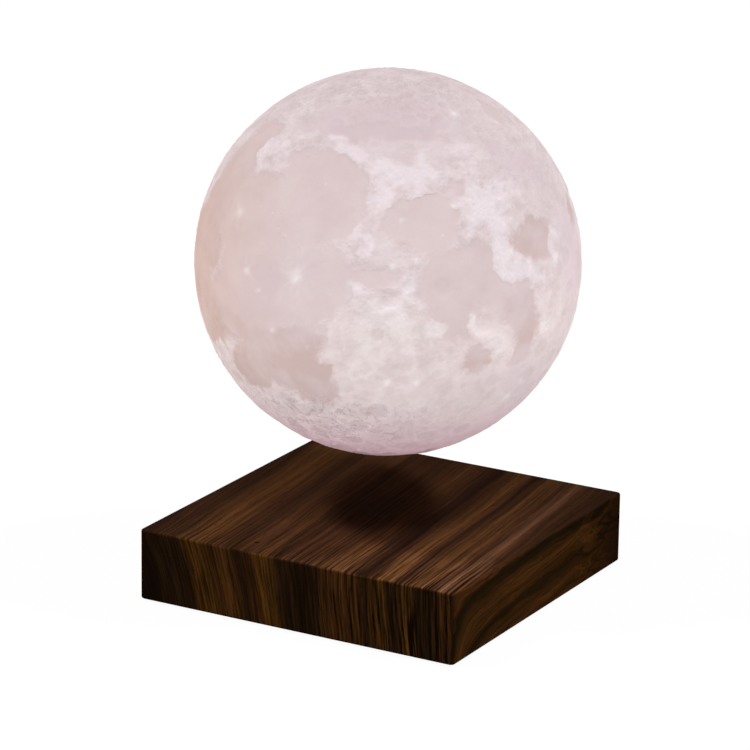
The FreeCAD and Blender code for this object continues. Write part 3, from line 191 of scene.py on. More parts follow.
# Pale patches of the rough land, in the same terms. The first ones stand in the plains.
PALES = [
    (46, -46, 4, 5, 1.0), (42, -50, 4, 3.4, 1.0), (52, -34, 2.2, 6, .8), (61, -50, 4.5, 6, .6),
    (53.5, -17, 2.0, 4.2, .95), (50.5, -8, 2.2, 4.2, .95), (47.5, -1, 2.4, 3.6, 1.0),
    (44, 5, 2.6, 3.6, 1.0), (41.5, 11, 4.2, 7.5, 1.0), (36.5, 18, 1.8, 3.4, .9),
    (35, 6, 3.4, 2.6, .95), (45, 21, 4, 1.8, .9), (31, 3, 3, 1.6, .6), (21, 1, 3.4, 2.4, .95),
    (25.5, -3, 3, 1.8, .7), (17, 0, 2, 2, .6), (34, 46, 7, 11, .9), (27.5, 36.5, 4, 5.5, 1.0),
    (31.5, 30, 2, 3, .9), (23, 34, 3, 2, .8), (23, 44, 6, 4, .95), (14, 44, 5, 3.4, 1.0),
    (9.5, 49, 3, 4.5, 1.0), (7, 57, 2.6, 4, 1.0), (12, 66, 5, 2.4, .8), (20, 69, 6, 2.6, .7),
    (41, 28, 2.4, 5, .6), (46, 36, 3.4, 7, .5), (-3, 6, 5, 9, .75), (2, 11, 3.6, 3.6, 1.0),
    (8, 14.5, 4.6, 2.2, 1.0), (6, -2, 3.8, 2.8, .95), (4, 4, 3, 5, .7), (-4, -9, 2.6, 3.2, .85),
    (-12, 6, 9, 13, .75), (-4, 21.5, 2.6, 3.6, .95), (-14, 24, 6, 4, .6), (-2, 33, 2.6, 1.8, .9),
    (-6, 35.5, 3.2, 3.2, .95), (-10, 40, 2.6, 4, .85), (-13, 44.5, 3, 4.5, .8), (48, 42, 4, 6, .5),
    (55, 75, 5, 8, .5), (-19.5, -56, 3, 5, .8), (-9, 68, 6, 3.0, .5), (22, -163, 9, 10, .6),
    (36, 103, 8, 9, .6), (5, 120, 10, 12, .4), (50, -110, 8, 12, .4), (-10, -120, 10, 12, .4),
    (-20, 150, 8, 8, .3),
]

# Ringed craters: latitude, longitude, radius of the rim.
CRATERS = [
    (-58.4, -14.4, 3.8), (-43.3, -11.2, 1.5), (-49.6, -6.3, 3.0), (-44.4, -54.6, 3.7),
    (-9.3, -1.9, 2.6), (-13.4, -2.8, 2.0), (-18.2, -1.9, 1.6), (-32.5, 5.0, 3.6), (-33, 0.7, 2.3),
    (-25.3, 60.4, 3.0), (-8.9, 61.1, 2.2), (-44.9, 40.8, 3.2), (-11.4, 26.4, 1.8),
    (-13.2, 24.0, 1.6), (-18.0, 23.6, 1.8), (-17.5, -39.9, 1.9), (-5.5, -68.3, 2.9),
    (9.6, -20.1, 1.6), (29.7, -4.0, 1.4), (33.9, 1.2, 1.0), (51.6, -9.4, 1.7), (50.2, 17.4, 1.5),
    (44.3, 16.3, 1.2), (46.7, 44.4, 1.5), (46.7, 39.1, 1.2), (31.8, 29.9, 1.6), (53.6, 56.5, 2.1),
    (27.7, 55.5, 2.1), (21.3, 46.0, 1.2), (63.5, -62.8, 2.4), (14.5, -11.3, 1.0), (-5.5, 4.8, 2.5),
    (-11.3, 4.1, 2.2), (-21.5, 0.8, 2.0), (-25.0, 1.0, 1.6), (-49.5, -21.7, 2.4),
    (-70.6, -5.5, 1.9), (-63.0, 10.0, 2.6), (-56.0, 26.0, 2.2), (-38.0, 22.0, 2.0),
    (-29.5, 26.0, 2.0), (-34.0, 36.0, 1.8), (-41.0, 14.0, 1.9), (-51.0, -39.0, 1.9),
    (-66.5, -40.0, 1.9), (-29.9, -13.0, 1.9), (-29.0, -22.5, 1.3), (71.0, 15.0, 1.8),
    (67.0, -28.0, 2.0), (74.0, -12.0, 1.9), (62.0, 28.0, 1.9), (66.0, 48.0, 2.0), (8.1, -38.0, 0.9),
    (23.7, -47.4, 1.0), (16.1, 46.8, 0.9), (2.6, -129.2, 8.2), (-4.0, -157.4, 6.6),
    (5.7, 140.9, 4.8), (-20.2, 149.2, 4.2), (-36.0, -151.0, 7.6), (-20.4, 129.1, 3.0),
    (-31.4, 112.2, 4.2), (58.7, -146.1, 5.2), (32.6, -95.3, 4.2), (45.3, 151.4, 3.6),
    (41.6, -118.1, 3.5), (-57.0, 137.0, 4.8), (18.0, -165.0, 2.0), (25.0, 105.0, 2.6),
    (-47.0, -105.0, 3.0), (-75.0, 132.0, 4.6), (-19.4, -92.8, 8.8), (61.0, 105.0, 3.2),
    (-12.0, -115.0, 2.6), (36.0, 172.0, 3.0), (14.0, 165.0, 2.4), (-62.0, -95.0, 3.0),
    (15.0, -100.0, 2.8), (72.0, -170.0, 3.0),
]
# Young craters: latitude, longitude, radius of the bright spot, and how far their rays reach.
BRIGHT = [
    (-43.3, -11.2, 1.7, 48), (9.6, -20.1, 1.9, 13), (8.1, -38.0, 1.1, 8), (23.7, -47.4, 1.3, 7),
    (16.1, 46.8, 1.0, 8), (-8.9, 61.1, 2.0, 9), (-32.5, 54.2, 1.2, 12), (16.3, 16.0, .7, 3),
    (14.5, 9.1, .8, 2), (2.8, 17.3, .6, 3), (-0.4, 32.7, .6, 3), (61.8, 50.3, 1.3, 10),
    (73.4, -10.1, 1.4, 14), (-24.5, -63.7, 1.5, 12), (35.9, 102.8, 1.6, 20),
    (22.4, -163.1, 1.8, 26), (18.4, -113.5, 1.4, 14), (-10.3, -164.5, 1.2, 10),
    (-5.0, 123.1, 1.2, 8), (-17.0, -144.0, 1.2, 10), (-41.5, 117.0, 1.3, 9), (9.7, -3.2, .6, 2),
    (27.7, 11.8, .5, 2), (31.8, 29.9, .8, 3), (-7.7, -27.7, .6, 3), (3.3, -32.8, .5, 2),
    (-20.9, 8.0, .9, 3), (-21.3, 17.0, .8, 3),
]


def towards(latitude, longitude):
    """Unit vector from the moon's middle to a place on it, at rest."""
    lift, turn = math.radians(latitude), math.radians(longitude + ZERO_MERIDIAN)
    level = math.cos(lift)
    return np.array((level * math.cos(turn), level * math.sin(turn), math.sin(lift)))


def seen_from(directions, latitude, longitude):
    """Degrees from a place on the moon, and how many of them are to the east and to the north."""
    middle = towards(latitude, longitude)
    east = np.cross((0, 0, 1), middle)
    east /= np.linalg.norm(east)
    north = np.cross(middle, east)
    distance = np.degrees(np.arccos(np.clip(directions @ middle, -1, 1)))
    x, y = directions @ east, directions @ north
    length = np.maximum(np.hypot(x, y), 1e-9)
    return distance, distance * x / length, distance * y / length


def lumps(directions, size, octaves=4, seed=0):
    """Fractal noise, about -1 to 1, whose largest lumps are this many degrees across."""
    scale, shift = 57.3 / size, Vector((7.1, -3.7, 5.3)) * (seed + 1)
    values = (noise.fractal(Vector(d) * scale + shift, 1.0, 2.0, octaves) for d in directions)
    return np.fromiter(values, float, len(directions))


def stirred(directions, size, amount, octaves, seed):
    """The directions pushed about by noise, so that outlines wander by so many degrees."""
    push = np.stack([lumps(directions, size, octaves, seed + n) for n in range(3)], axis=1)
    moved = directions + push * math.radians(amount)
    return moved / np.linalg.norm(moved, axis=1, keepdims=True)


def smooth(value, low, high):
    """0 up to low and 1 from high on, with a soft rise between. Or a fall, where high is lower."""
    t = np.clip((value - low) / (high - low), 0, 1)
    return t * t * (3 - 2 * t)


def in_patch(directions, latitude, longitude, height, width):
    """0 in the middle of a patch, 1 on its outline."""
    _, east, north = seen_from(directions, latitude, longitude)
    return np.hypot(east / width, north / height)


def map_seas(directions):
    """How far inside a sea each place is, in degrees, and how dark that sea is."""
    sharpness = 1.1
    total = np.full(len(directions), 1e-9)
    shade = np.zeros(len(directions))
    for latitude, longitude, height, width, dark in SEAS:
        inside = (1 - in_patch(directions, latitude, longitude, height, width)) * min(height, width)
        weight = np.exp(np.clip(sharpness * inside, -40, 12))
        total += weight
        shade += weight * dark
    return np.log(total) / sharpness, shade / total


def map_patches(directions, patches):
    """How much of the patches lies over each place, 0 to about 1."""
    clear = np.ones(len(directions))
    for latitude, longitude, height, width, amount in patches:
        share = in_patch(directions, latitude, longitude, height, width)
        clear *= 1 - amount * np.exp(-0.7 * share ** 3)
    return 1 - clear


def map_rays(directions):
    """Brightness of the young craters and of the rays that they threw out."""
    bright = np.zeros(len(directions))
    for number, (latitude, longitude, spot, reach) in enumerate(BRIGHT):
        distance, east, north = seen_from(directions, latitude, longitude)
        bright += np.exp(-(distance / spot) ** 2)
        near = np.flatnonzero(distance < reach)
        turn = np.arctan2(north[near], east[near])
        around = np.stack([2.6 * np.cos(turn), 2.6 * np.sin(turn), distance[near] / 30], axis=1)
        shift = Vector((number * 5.1, 0, 3))
        streaks = np.array([noise.fractal(Vector(p) + shift, 0.8, 2.2, 3) for p in around])
        fade = (1 - distance[near] / reach) ** 1.6
        bright[near] += 0.55 * fade * smooth(streaks, -0.15, 0.7)
    return np.clip(bright, 0, 1.3)


def bowl(distance, rim, depth):
    """Height over the plain of a crater: bowl or flat floor, wall, raised rim and skirt."""
    share = distance / rim
    if rim < 2.2:
        hollow = -depth * np.clip(1 - share ** 2, 0, 1)
    else:
        hollow = -depth * (1 - smooth(share, 0.62, 1.0))
        hollow += 0.45 * depth * np.exp(-(share / 0.14) ** 2)
    return hollow + 0.42 * depth * np.exp(-((share - 1.04) / 0.17) ** 2)


# Heights of the print against a ball of the moon's full radius, in mm: the land, how much lower
# the plains lie, and the highest and the lowest that any ground may be. The wall is 1.8 mm thick.
LAND, PLAIN_DROP = -0.32, 0.26
HIGHEST, LOWEST = -0.03, -1.0
# Small craters, strewn all over: how many, and the least and the greatest radius in degrees. The
# plains are younger than the land, and keep only this share of them.
SMALL_CRATERS, CRATER_SEED = 2400, 11
LEAST_RIM, GREATEST_RIM = 0.95, 3.4
SHARE_IN_SEAS = 0.06


def relief(directions, sea, rugged):
    """Height of the ground. It never stands proud of the ball, and never nears the inside."""
    land = 1 - smooth(sea, -0.8, 0.8)
    rough = lumps(directions, 9, 6, 30)
    height = LAND - PLAIN_DROP * (1 - land) + (land * 0.20 + rugged * 0.08) * rough
    height += (1 - land) * 0.025 * lumps(directions, 5, 3, 33)
    # The land stands higher where it borders on a sea.
    shore = np.exp(-((sea + 1.6) / 1.5) ** 2)
    height += 0.12 * shore * np.clip(0.4 + lumps(directions, 4, 4, 36), 0, 1)
    wandered = stirred(directions, 2.5, 0.22, 2, 40)

    chance = np.random.default_rng(CRATER_SEED)
    craters = []
    while len(craters) < SMALL_CRATERS:
        middle = chance.normal(size=3)
        middle /= np.linalg.norm(middle)
        rim = LEAST_RIM * chance.random() ** -0.42
        craters.append((middle, min(rim, GREATEST_RIM), chance.random()))
    # The widest first, so that the small ones lie on top of them.
    craters.sort(key=lambda item: -item[1])
    known = [(towards(lat, lon), rim, None) for lat, lon, rim in CRATERS]
    for middle, rim, luck in known + craters:
        close = wandered @ middle
        near = np.flatnonzero(close > math.cos(math.radians(1.6 * rim)))
        if not len(near):
            continue
        in_sea = sea[near[np.argmax(close[near])]] > 0
        if luck is not None and in_sea and luck > SHARE_IN_SEAS:
            continue
        distance = np.degrees(np.arccos(np.clip(close[near], -1, 1)))
        depth = (0.42 if luck is None else 0.18 + 0.18 * luck) * min(math.sqrt(rim / 2), 1.5)
        depth *= 0.6 if in_sea else 1
        height[near] += bowl(distance, rim, depth) * (1 + 0.3 * rugged[near])
    # Both limits bend the ground softly. The upper one is near the ball's own skin.
    height = np.logaddexp(0, 12 * (height - LOWEST)) / 12 + LOWEST
    return -np.logaddexp(0, -14 * (height - HIGHEST)) / 14


# Elevation, and the light that comes through there. The lamp's lights stand low in the ball, so its
# top gets less, and the magnet and its plate keep it from the lowest part.
GLOW = [
    (-90, 0.015), (-78, 0.02), (-73.5, 0.06), (-70.5, 0.15), (-67, 0.37), (-60, 0.60), (-50, 0.67),
    (-40, 0.77), (-28, 0.86), (-18, 0.90), (0, 0.88), (17, 0.795), (45, 0.655), (70, 0.565),
    (90, 0.535),
]
# Height of the ground, and its share of light more or less: a painted highlight on the rims, and
# painted shade on the low ground.
RELIEF_SHADING = [(-1.0, -0.06), (-0.5, -0.04), (-0.32, 0), (-0.2, 0.045), (-0.05, 0.09)]


def moon_surface(points, on_skin):
    """Presses the relief into the points that lie on the outer skin. Gives also the map's values."""
    middle = np.array((0, 0, MOON_CENTRE))
    spokes = points - middle
    reach = np.linalg.norm(spokes, axis=1, keepdims=True)
    directions = spokes / reach
    # Outlines wander widely, and then finely.
    wandered = stirred(stirred(directions, 18, 2.0, 3, 10), 5.5, 1.9, 4, 20)
    sea, shade = map_seas(wandered)
    pale = map_patches(wandered, PALES)
    # Mountains and bays: pale land that stands in a plain is no part of it.
    sea = np.minimum(sea, 5) - 7 * smooth(pale, 0.40, 0.85)
    lift = np.degrees(np.arcsin(np.clip(directions[:, 2], -1, 1)))
    # The roughest land lies in the south, and some near the north pole.
    from_south = seen_from(directions, -38, -16)[0]
    rugged = smooth(lift, -24, -34) * np.exp(-(from_south / 30) ** 2) + 0.45 * smooth(lift, 58, 74)
    height = relief(directions, sea, rugged)
    pressed = np.where(on_skin[:, None], middle + directions * (reach + height[:, None]), points)
    from_west = seen_from(directions, 2, -76)[0]
    # The far side has no plains to speak of: there the craters make the picture.
    far = smooth(seen_from(directions, 10, 8)[0], 88, 112)
    marks = {
        "sea": sea, "shade": shade, "pale": pale, "rugged": rugged,
        "veil": map_patches(wandered, VEILS_AND_LIMB_SHADE),
        "rays": map_rays(directions),
        "warmth": np.exp(-(from_west / 40) ** 2) * (0.35 + 0.65 * smooth(sea, -1, 1)),
        "glow": np.interp(lift, *zip(*GLOW)),
        "low": smooth(lift, -26, -66),
        # Painted highlight and shade of the relief, strongest on the far side and the rugged ground.
        "raised": np.interp(height, *zip(*RELIEF_SHADING)) * (0.7 + 0.8 * rugged + 1.3 * far),
    }
    return pressed, marks


def turned(profile, segments):
    """Points and faces of a profile of radius and height turned about the upright axis."""
    profile = np.array(profile)
    turn = np.linspace(0, 2 * np.pi, segments, endpoint=False)
    radius, height = profile[:, 0][:, None], profile[:, 1][:, None]
    rings = np.stack([radius * np.cos(turn), radius * np.sin(turn), height + 0 * turn], axis=2)
    index = np.arange(len(profile) * segments).reshape(len(profile), segments)
    ahead = np.roll(index, -1, axis=1)
    faces = np.stack([index[:-1], ahead[:-1], ahead[1:], index[1:]], axis=2).reshape(-1, 4)
    return rings.reshape(-1, 3), faces


# Edges that turn by more than this are sharp.
SHARP_FROM = 40


def make_moon_piece(name, node, points, faces, marks, material):
    """A piece of the moon that stands for one of its nodes."""
    mesh = bpy.data.meshes.new(name)
    mesh.from_pydata((np.asarray(points) * MM).tolist(), [], [list(map(int, f)) for f in faces])
    for mark, values in marks.items():
        attribute = mesh.attributes.new(mark, "FLOAT", "POINT")
        attribute.data.foreach_set("value", values.astype(np.float32))
    mesh.shade_smooth()
    mesh.set_sharp_from_angle(angle=math.radians(SHARP_FROM))
    mesh.materials.append(material)
    piece = bpy.data.objects.new(name, mesh)
    bpy.context.scene.collection.objects.link(piece)
    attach(piece, "moon")
    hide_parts(node)


def arc(radius, low, high, count):
    """Radius and height of points on a ball about the moon's middle, between two elevations."""
    lifts = np.radians(np.linspace(low, high, count))
    return [(radius * math.cos(a), MOON_CENTRE + radius * math.sin(a)) for a in lifts]


# The moon's opening, its cap, the lip that the cap rests against and the collar round it: radii, and
# heights above the table, as in the solids.
OPENING, CAP_EDGE, LIP, COLLAR = 33.0, 32.8, 31.2, 35.0
CAP_TOP, LIP_TOP = 71.45, 72.95
WALL = 1.8
# Of the skin, one point in each millimetre. The inside is plain, and the cap is small.
MOON_RINGS, MOON_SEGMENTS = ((200, 400))
INNER_RINGS = 26
CAP_RINGS, CAP_SEGMENTS = 40, 200
# Elevations of the last ring at the top and at the bottom. One flat face closes each.
TOP_RING, BOTTOM_RING = 89.8, -89.6


def make_moon_shell(material):
    low = -math.degrees(math.acos(OPENING / MOON_RADIUS))
    skin = arc(MOON_RADIUS, low, TOP_RING, MOON_RINGS)
    inner = MOON_RADIUS - WALL
    inner_low = -math.degrees(math.acos(COLLAR / inner))
    inside = arc(inner, TOP_RING, inner_low, INNER_RINGS)
    collar = [(COLLAR, LIP_TOP), (LIP, LIP_TOP), (LIP, CAP_TOP), (OPENING, CAP_TOP)]
    profile = skin + inside + collar + skin[:1]
    points, faces = turned(profile, MOON_SEGMENTS)
    on_skin = np.zeros(len(points), bool)
    on_skin[:MOON_RINGS * MOON_SEGMENTS] = True
    # The last ring is the first again: it gets the same relief, so that the wall meets the skin.
    on_skin[-MOON_SEGMENTS:] = True
    # The ball's tip between skin and inside is left out, and each is closed by its own last ring.
    across = (MOON_RINGS - 1) * MOON_SEGMENTS
    faces = np.delete(faces, np.arange(across, across + MOON_SEGMENTS), axis=0).tolist()
    tip = list(range(across, across + MOON_SEGMENTS))
    inner_tip = list(range(across + MOON_SEGMENTS, across + 2 * MOON_SEGMENTS))
    faces += [tip, inner_tip[::-1]]
    pressed, marks = moon_surface(points, on_skin)
    make_moon_piece("moon_relief", "moon_shell", pressed, faces, marks, material)


def make_moon_cap(material):
    """The cap with the relief on its underside. Its pocket, seats and bosses come from the solid."""
    edge = -math.degrees(math.acos(CAP_EDGE / MOON_RADIUS))
    skin = arc(MOON_RADIUS, BOTTOM_RING, edge, CAP_RINGS)
    points, faces = turned(skin + [(CAP_EDGE, CAP_TOP)], CAP_SEGMENTS)
    on_skin = np.arange(len(points)) < len(skin) * CAP_SEGMENTS
    faces = faces.tolist() + [list(range(CAP_SEGMENTS))[::-1]]
    solid = frame["nodes"]["moon_cap"].data
    corners = np.empty(len(solid.vertices) * 3)
    solid.vertices.foreach_get("co", corners)
    corners = corners.reshape(-1, 3) / MM
    # Its faces on the skin and round the edge are left out, because they are made here.
    slack = 0.05
    kept = []
    for face in solid.polygons:
        own = corners[list(face.vertices)]
        on_ball = np.linalg.norm(own - (0, 0, MOON_CENTRE), axis=1).min() >= MOON_RADIUS - slack
        at_edge = np.hypot(own[:, 0], own[:, 1]).min() > CAP_EDGE - slack
        if not on_ball and not (at_edge and abs(face.normal.z) < 0.5):
            kept.append(list(face.vertices))
    used = sorted({v for face in kept for v in face})
    renumber = {v: n + len(points) for n, v in enumerate(used)}
    faces += [[renumber[v] for v in face] for face in kept]
    points = np.concatenate([points, corners[used]])
    on_skin = np.concatenate([on_skin, np.zeros(len(used), bool)])
    pressed, marks = moon_surface(points, on_skin)
    make_moon_piece("moon_cap_relief", "moon_cap", pressed, faces, marks, material)


# ---------------------------------------------------------------------------------------------
# Materials of what shows
# ---------------------------------------------------------------------------------------------


def printed_moon_plastic():
    """White PLA, printed thin: matt and slightly see-through, its plains thicker and so darker."""
    material, put, shader, place = start(
        "printed_moon_plastic", Roughness=0.62, IOR=1.46, Specular_IOR_Level=0.01,
        Emission_Strength=1.0)
    # The values of the map, which moon_surface() lays on the mesh.
    names = "sea shade pale veil rays warmth glow low raised rugged".split()
    marks = {name: put("Attribute", attribute_name=name).outputs["Fac"] for name in names}

    # Rough land: mottled in lumps from 12 mm down to under a millimetre.
    mottle = put("TexNoise", place, Scale=0.11, Detail=9, Roughness=0.66)
    uneven = put("MapRange", mottle, 0.35, 0.65, -0.3, 0.3)
    land = put("ValToRGB", mottle, stops=[(0.30, "D8C8CA"), (0.5, "E2D3D5"), (0.70, "EADEE0")])
    paled = put("MapRange", put("Math", marks["pale"], uneven), 0.42, 1.0, 0, 0.85)
    # The pale land is greyer in the north and tan in the south.
    height = put("SeparateXYZ", place).outputs[2]
    tan = put("MapRange", height, MOON_CENTRE + 12, MOON_CENTRE - 6, 0, 1)
    land = put("Mix", tan, land, put("Mix", 1.0, land, "FFFEFB", **TINT), **COLOUR)
    land = put("Mix", paled, land, put("Mix", tan, "EEE3E8", "ECE0E0", **COLOUR), **COLOUR)
    # Lava fields in the plains, 10 to 20 mm wide.
    fields = put("TexNoise", place, Scale=0.075, Detail=6, Roughness=0.6)
    dark = put("Math", marks["shade"], put("MapRange", fields, 0.3, 0.7, -0.2, 0.2))
    plain = put("ValToRGB", dark, stops=[
        (0.2, "E5D6D7"), (0.5, "E1CFD0"), (0.75, "DBC8C9"), (1.0, "D3BCB9")])
    # Shores: the map is fine to a millimetre, and this frays them below that.
    fray = put("TexNoise", place, Scale=0.36, Detail=5, Roughness=0.62)
    fray = put("MapRange", fray, 0.25, 0.75, -1.5, 1.5)
    sea = put("Math", fray, marks["sea"])
    sea = put("MapRange", sea, -1.1, 1.1, 0, 1, interpolation_type="SMOOTHSTEP")
    ground = put("Mix", sea, land, plain, **COLOUR)
    # The veils: tones of the map, and painted shade towards the east limb.
    veil = put("MapRange", put("Math", marks["veil"], uneven), 0.2, 1.0, 0, 0.8)
    bare = put("Math", 1.0, paled, operation="SUBTRACT")
    ground = put("Mix", put("Math", veil, bare, operation="MULTIPLY"), ground, "DBC9CE", **COLOUR)
    # Dots of the smallest young craters, half a millimetre to a millimetre wide.
    cells = put("TexVoronoi", place, Scale=0.16)
    dot = put("MapRange", cells, 0.05, 0.12, 1, 0)
    luck = put("MapRange", put("SeparateColor", cells.outputs["Color"]), 0.78, 0.95, 0, 0.5)
    bright = put("Math", dot, luck, marks["rays"], operation="MULTIPLY_ADD")
    bright = put("Math", bright, 0.8, operation="MULTIPLY", use_clamp=True)
    ground = put("Mix", bright, ground, "F3ECEC", **COLOUR)
    # Painted shade: dark lines half a millimetre wide on the rugged ground, where its crater walls
    # would be shaded.
    painted_wall_shade = put("TexNoise", place, Scale=0.15, Detail=5, Roughness=0.66, Distortion=0.5)
    painted_wall_shade = put("Math", put("Math", painted_wall_shade, -0.5), operation="ABSOLUTE")
    painted_wall_shade = put("MapRange", painted_wall_shade, 0.006, 0.03, 0.7, 0)
    painted_wall_shade = put("Math", painted_wall_shade, marks["rugged"], operation="MULTIPLY")
    ground = put("Mix", painted_wall_shade, ground, "B9A6A4", **COLOUR)
    # The western side is tinted browner, the plains the most, and the lowest part pinker.
    ground = put("Mix", marks["warmth"], ground, put("Mix", 1.0, ground, "F7ECDF", **TINT), **COLOUR)
    ground = put("Mix", marks["low"], ground, put("Mix", 1.0, ground, "FFE8F3", **TINT), **COLOUR)
    # The glow carries the painted highlight on the rims and the painted shade on the low ground.
    light = put("Math", marks["raised"], marks["glow"], marks["glow"], operation="MULTIPLY_ADD")
    lit = put("VectorMath", ground, operation="SCALE", Scale=light)
    # Seen by the light of lamps alone, the print is a darker white.
    body = put("Mix", 1.0, ground, "B0ACAC", **TINT)
    # Pits under 2 mm, too small for the mesh, fewer in the plains.
    pits = put("MapRange", put("TexVoronoi", place, Scale=0.5), 0.1, 0.55, 0, 1)
    bumps = put("Math", pits, put("TexNoise", place, Scale=1.0, Detail=4, Roughness=0.6))
    calm = put("Math", sea, veil, operation="MAXIMUM")
    height = put("Math", bumps, put("MapRange", calm, 0, 1, 0.2, 0.03), operation="MULTIPLY")
    normal = put("Bump", Height=height, Distance=MM, Strength=0.8)
    feed(shader, Base_Color=body, Emission_Color=lit, Normal=normal)
    return material


# Walnut tones, each list from black-brown to tan. End grain, on the front, drinks more oil.
LONG_GRAIN = ("2C1811", "38221A", "482E1E", "513321", "5F3D26", "674329", "714A2B", "755039")
END_GRAIN = ("24170E", "332214", "3A2718", "462D19", "5A371B", "633E1E", "6A451D", "744A1E")
SIDE_GRAIN = ("2E200E", "523315", "61391D", "6B421F")

# Growth bands: where each lies, and its tone. The top and the front are cut across the same ones.
TOP_BANDS = [
    (-70, 0), (-66, 1), (-62, 2), (-54, 2), (-48, 6), (-40, 6), (-34, 3), (-29, 2), (-24, 4),
    (-20, 3), (-15, 5), (-10, 3), (4, 3), (13, 4), (19, 5), (25, 2), (31, 0), (34, 3), (39, 6),
    (42, 6), (46, 1), (52, 6), (56, 5), (60, 3), (65, 7), (69, 3), (75, 2), (84, 1),
]
FRONT_BANDS = [
    (-70, 0), (-66, 1), (-60, 2), (-52, 2), (-48, 7), (-41, 6), (-36, 4), (-30, 5), (-26, 2),
    (-20, 4), (-17.5, 7), (-10, 6), (-8, 2), (2, 1), (9, 2), (12, 5), (22, 4), (29, 5), (31, 1),
    (34, 5), (39, 6), (41.5, 2), (46, 3), (48, 6), (52, 5), (54.5, 1), (60, 2), (66, 4), (76, 3),
]
# On the sides the bands lie one above another: these are heights at the front edge.
SIDE_BANDS = [
    (-10, 0), (-7, 1), (-4.5, 3), (-2, 1), (1.6, 3), (4.5, 1), (7.6, 0), (10, 1), (14, 3),
    (16.5, 3), (19, 1), (22, 0), (24.5, 0), (27, 2), (31, 2),
]


# Streaks 4 mm wide, fibres of 1 mm and pores of a third of a millimetre, long in the direction of
# the grain. Real pores are half as wide, and wouldn't show. For each, its scale across the grain, to
# the rear and upwards, as lumps in a millimetre.
GRAIN = {
    "streaks": (0.24, 0.006, 0.016),
    "fibres": (0.95, 0.016, 0.04),
    "pores": (2.6, 0.13, 0.2),
}


